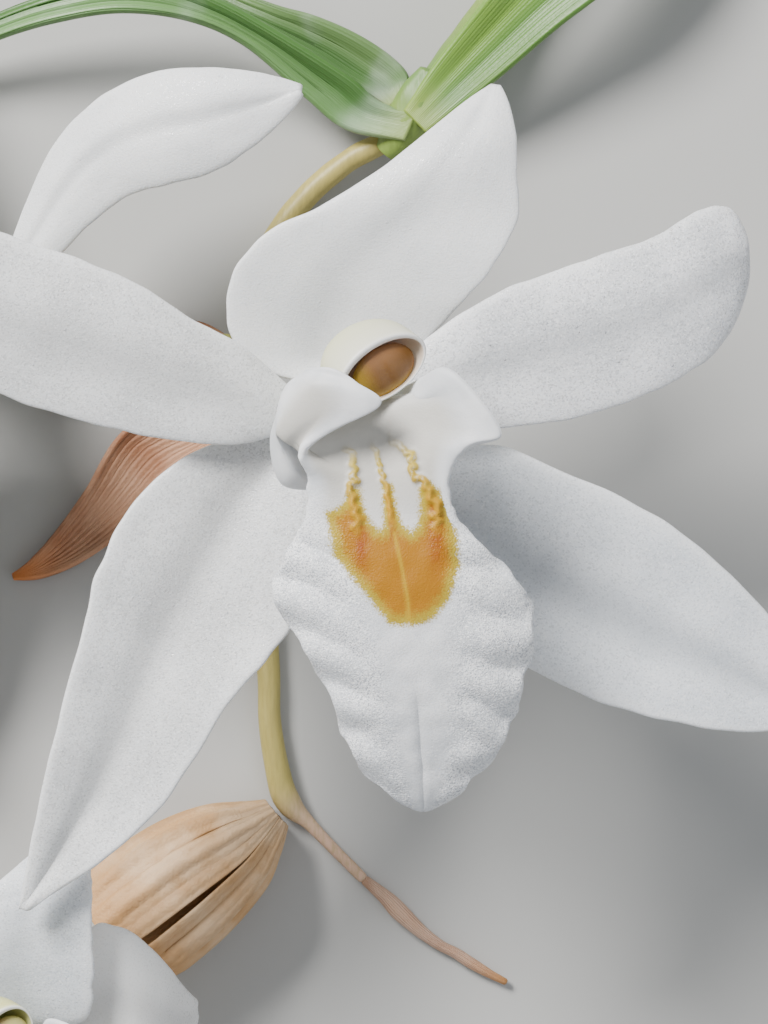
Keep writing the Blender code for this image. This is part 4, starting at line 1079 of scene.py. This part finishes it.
def studio():
    """A pale floor under the shoot, soft light from the upper left and the camera straight above."""
    floor_look = Look("pale_floor", 0.7)
    tone = floor_look.mix(floor_look.noise(0.01, 2.0), (0.42, 0.42, 0.41), (0.45, 0.45, 0.44))
    bpy.ops.mesh.primitive_plane_add(size=FLOOR_SIZE, location=(0, 0, FLOOR_HEIGHT))
    floor = bpy.context.object
    floor.name = "floor"
    floor.data.materials.append(floor_look.finish(tone))
    world = bpy.context.scene.world or bpy.data.worlds.new("studio")
    bpy.context.scene.world = world
    world.use_nodes = True
    back = world.node_tree.nodes["Background"]
    back.inputs["Color"].default_value = WORLD_COLOUR
    back.inputs["Strength"].default_value = WORLD_STRENGTH
    for light in LIGHTS:
        area_light(*light)
    camera = bpy.data.cameras.new("camera")
    camera.sensor_fit = "VERTICAL"
    camera.sensor_height = CAMERA_SENSOR
    camera.lens = CAMERA_LENS
    camera.clip_start = 0.01
    made = bpy.data.objects.new("camera", camera)
    made.location = Vector(CAMERA_PLACE) * MM
    bpy.context.scene.collection.objects.link(made)
    bpy.context.scene.camera = made


def stalks():
    """The flower stalk, and the stem stub with the husk where the leaves leave it."""
    olive = stalk_look("olive_stalk_skin", (0.42, 0.35, 0.10), (0.60, 0.40, 0.29), 0.74, 0.90)
    settle(tube("flower_stalk_skin", FLOWER_STALK, 28, 260, olive), "olive_stalk", "flower_stalk")
    # The sheath's green turns darker towards the leaf bases.
    sheath = stalk_look("green_sheath", (0.22, 0.32, 0.06), (0.12, 0.24, 0.05), 0.3, 0.9)
    settle(tube("stem_stub_skin", STEM_STUB, 28, 90, sheath), "green_leaf", "stem_stub")
    husk = tube("leaf_sheath_husk", LEAF_SHEATH, 40, 90, sheath, 5, 0.06)
    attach(husk, "root")


def pedicels():
    ovary = stalk_look("ovary_skin", (0.34, 0.33, 0.10), (0.55, 0.56, 0.36), 0.5, 0.9)
    for prefix, start, bend, where in PEDICELS:
        made = tube(f"{prefix}_pedicel_skin", pedicel_points(start, bend, where), 36, 90, ovary, 6, 0.05)
        settle(made, "olive_stalk", f"{prefix}_pedicel")


def leaves():
    """The three leaves, each with the greens of its left and its right, one of them darker as painted shade,
    its veins and its painted sheen.
    """
    left = ((0.065, 0.165, 0.035), (0.12, 0.25, 0.075), (0.26, 0.38, 0.21), (0.42, 0.52, 0.40))
    back = ((0.12, 0.22, 0.07), (0.06, 0.14, 0.035), (0.25, 0.36, 0.2), (0.55, 0.62, 0.55))
    right = ((0.15, 0.29, 0.035), (0.085, 0.20, 0.03), (0.26, 0.38, 0.10), (0.28, 0.40, 0.12))
    shapes = (("left", LEAF_LEFT, left), ("back", LEAF_BACK, back), ("right", LEAF_RIGHT, right))
    for where, stations, greens in shapes:
        name = "leaf_" + where
        settle(leaf(name + "_blade", stations, leaf_look(name + "_green", *greens)), "green_leaf", name)


def bracts():
    rosy = bract_look("rosy_bract", (0.56, 0.31, 0.19), (0.42, 0.19, 0.10), (0.76, 0.24, 0.05), 0.18)
    tan = bract_look("tan_bract_paper", (0.62, 0.43, 0.26), (0.50, 0.29, 0.13), (0.52, 0.28, 0.11))
    withered = bract_look("withered_bract", (0.66, 0.45, 0.34), (0.54, 0.32, 0.21), (0.60, 0.28, 0.09))
    troughs = (
        ("main_bract", MAIN_BRACT, (90, 60), 0.0, 0.35, rosy),
        ("upper_bract", UPPER_BRACT, (70, 60), 0.0, 0.35, rosy),
        ("lower_bract", LOWER_BRACT, (90, 130), LOWER_BRACT_ROLL, 1.0, tan),
    )
    for name, *shape in troughs:
        settle(bract(name + "_paper", *shape), "tan_bract", name)
    settle(tube("tail_bract_paper", TAIL_BRACT, 28, 120, withered, 5, 0.10), "tan_bract", "tail_bract")


def bloom_looks():
    white, grained = (0.80, 0.81, 0.82), (0.78, 0.79, 0.80)
    cream = ((0.58, 0.60, 0.33), (0.70, 0.70, 0.50), (0.72, 0.58, 0.46), (0.72, 0.71, 0.58))
    green = ((0.55, 0.58, 0.22), (0.66, 0.66, 0.35), (0.50, 0.50, 0.20), (0.66, 0.65, 0.30))
    return {
        # The tepal looks are copies of one white: the darker shade greys of grained_white, dewy_white and
        # blue_white are painted shade, and blue_white's blue tint is painted cool shade.
        "smooth_white": tepal_look("smooth_white", white, (0.68, 0.70, 0.72), 0.12, 0.5),
        "grained_white": tepal_look("grained_white", grained, (0.56, 0.57, 0.58), 0.45, 0.8),
        "dewy_white": tepal_look("dewy_white", (0.76, 0.77, 0.80), (0.50, 0.52, 0.55), 0.55, 2.0),
        "blue_white": tepal_look("blue_white", (0.76, 0.79, 0.83), (0.56, 0.60, 0.65), 0.38, 0.8),
        # Painted light: lit_white is a lighter copy of the white, for a petal turned away from the lamp.
        "lit_white": tepal_look("lit_white", (0.93, 0.93, 0.92), (0.86, 0.86, 0.86), 0.10, 0.5),
        "lip": lip_look("crested_lip"),
        "column": column_look("cream_hood", *cream),
        "green_column": column_look("green_hood", *green),
        "anther": anther_look("brown_cap", (0.15, 0.058, 0.003), (0.23, 0.095, 0.008)),
        "green_anther": anther_look("green_cap", (0.48, 0.46, 0.16), (0.55, 0.50, 0.20)),
    }


def blooms(looks):
    """The three blooms. Each tepal has its stations, turn, lift, crease and look."""
    flat = (0.0, 0.0, 0.3)
    main_tepals = (
        (DORSAL_SEPAL, 0, 0.0, (-0.15, 0.10, 0.25), "smooth_white"),
        (PETAL_LEFT, 0, 0.0, (0.1, 0.12, 0.4), "grained_white"),
        (PETAL_RIGHT, 0, 0.0, (0.0, 0.05, 0.3), "dewy_white"),
        (LATERAL_LEFT, 0, 0.0, (-0.12, 0.62, 0.30), "grained_white"),
        (LATERAL_RIGHT, 0, 0.0, (0.12, 0.62, 0.26), "blue_white"),
    )
    upper_tepals = (
        (UPPER_DORSAL_SEPAL, 0, -0.1, (0.0, 0.2, 0.2), "smooth_white"),
        (PETAL_LEFT, -45, 0.1, flat, "smooth_white"),
        (PETAL_RIGHT, -128, 0.0, flat, "smooth_white"),
        (LATERAL_LEFT, -75, 0.16, flat, "smooth_white"),
        (LATERAL_RIGHT, -78, -0.02, flat, "smooth_white"),
    )
    lower_tepals = (
        (LOWER_DORSAL_SEPAL, 0, 0.0, flat, "blue_white"),
        (PETAL_LEFT, 8, -0.05, flat, "grained_white"),
        (LOWER_PETAL_RIGHT, 0, 0.0, flat, "lit_white"),
        (LATERAL_LEFT, -12, 0.03, flat, "grained_white"),
        (LATERAL_RIGHT, -12, -0.21, flat, "smooth_white"),
    )
    bloom("main", MAIN_BLOOM, main_tepals, MAIN_CELLS, 0, looks)
    bloom("upper", UPPER_BLOOM, upper_tepals, SIDE_CELLS, -80, looks)
    bloom("lower", LOWER_BLOOM, lower_tepals, SIDE_CELLS, 30, looks, "green_column", "green_anther")


def main():
    looks = bloom_looks()
    stalks()
    leaves()
    bracts()
    pedicels()
    blooms(looks)
    studio()


main()
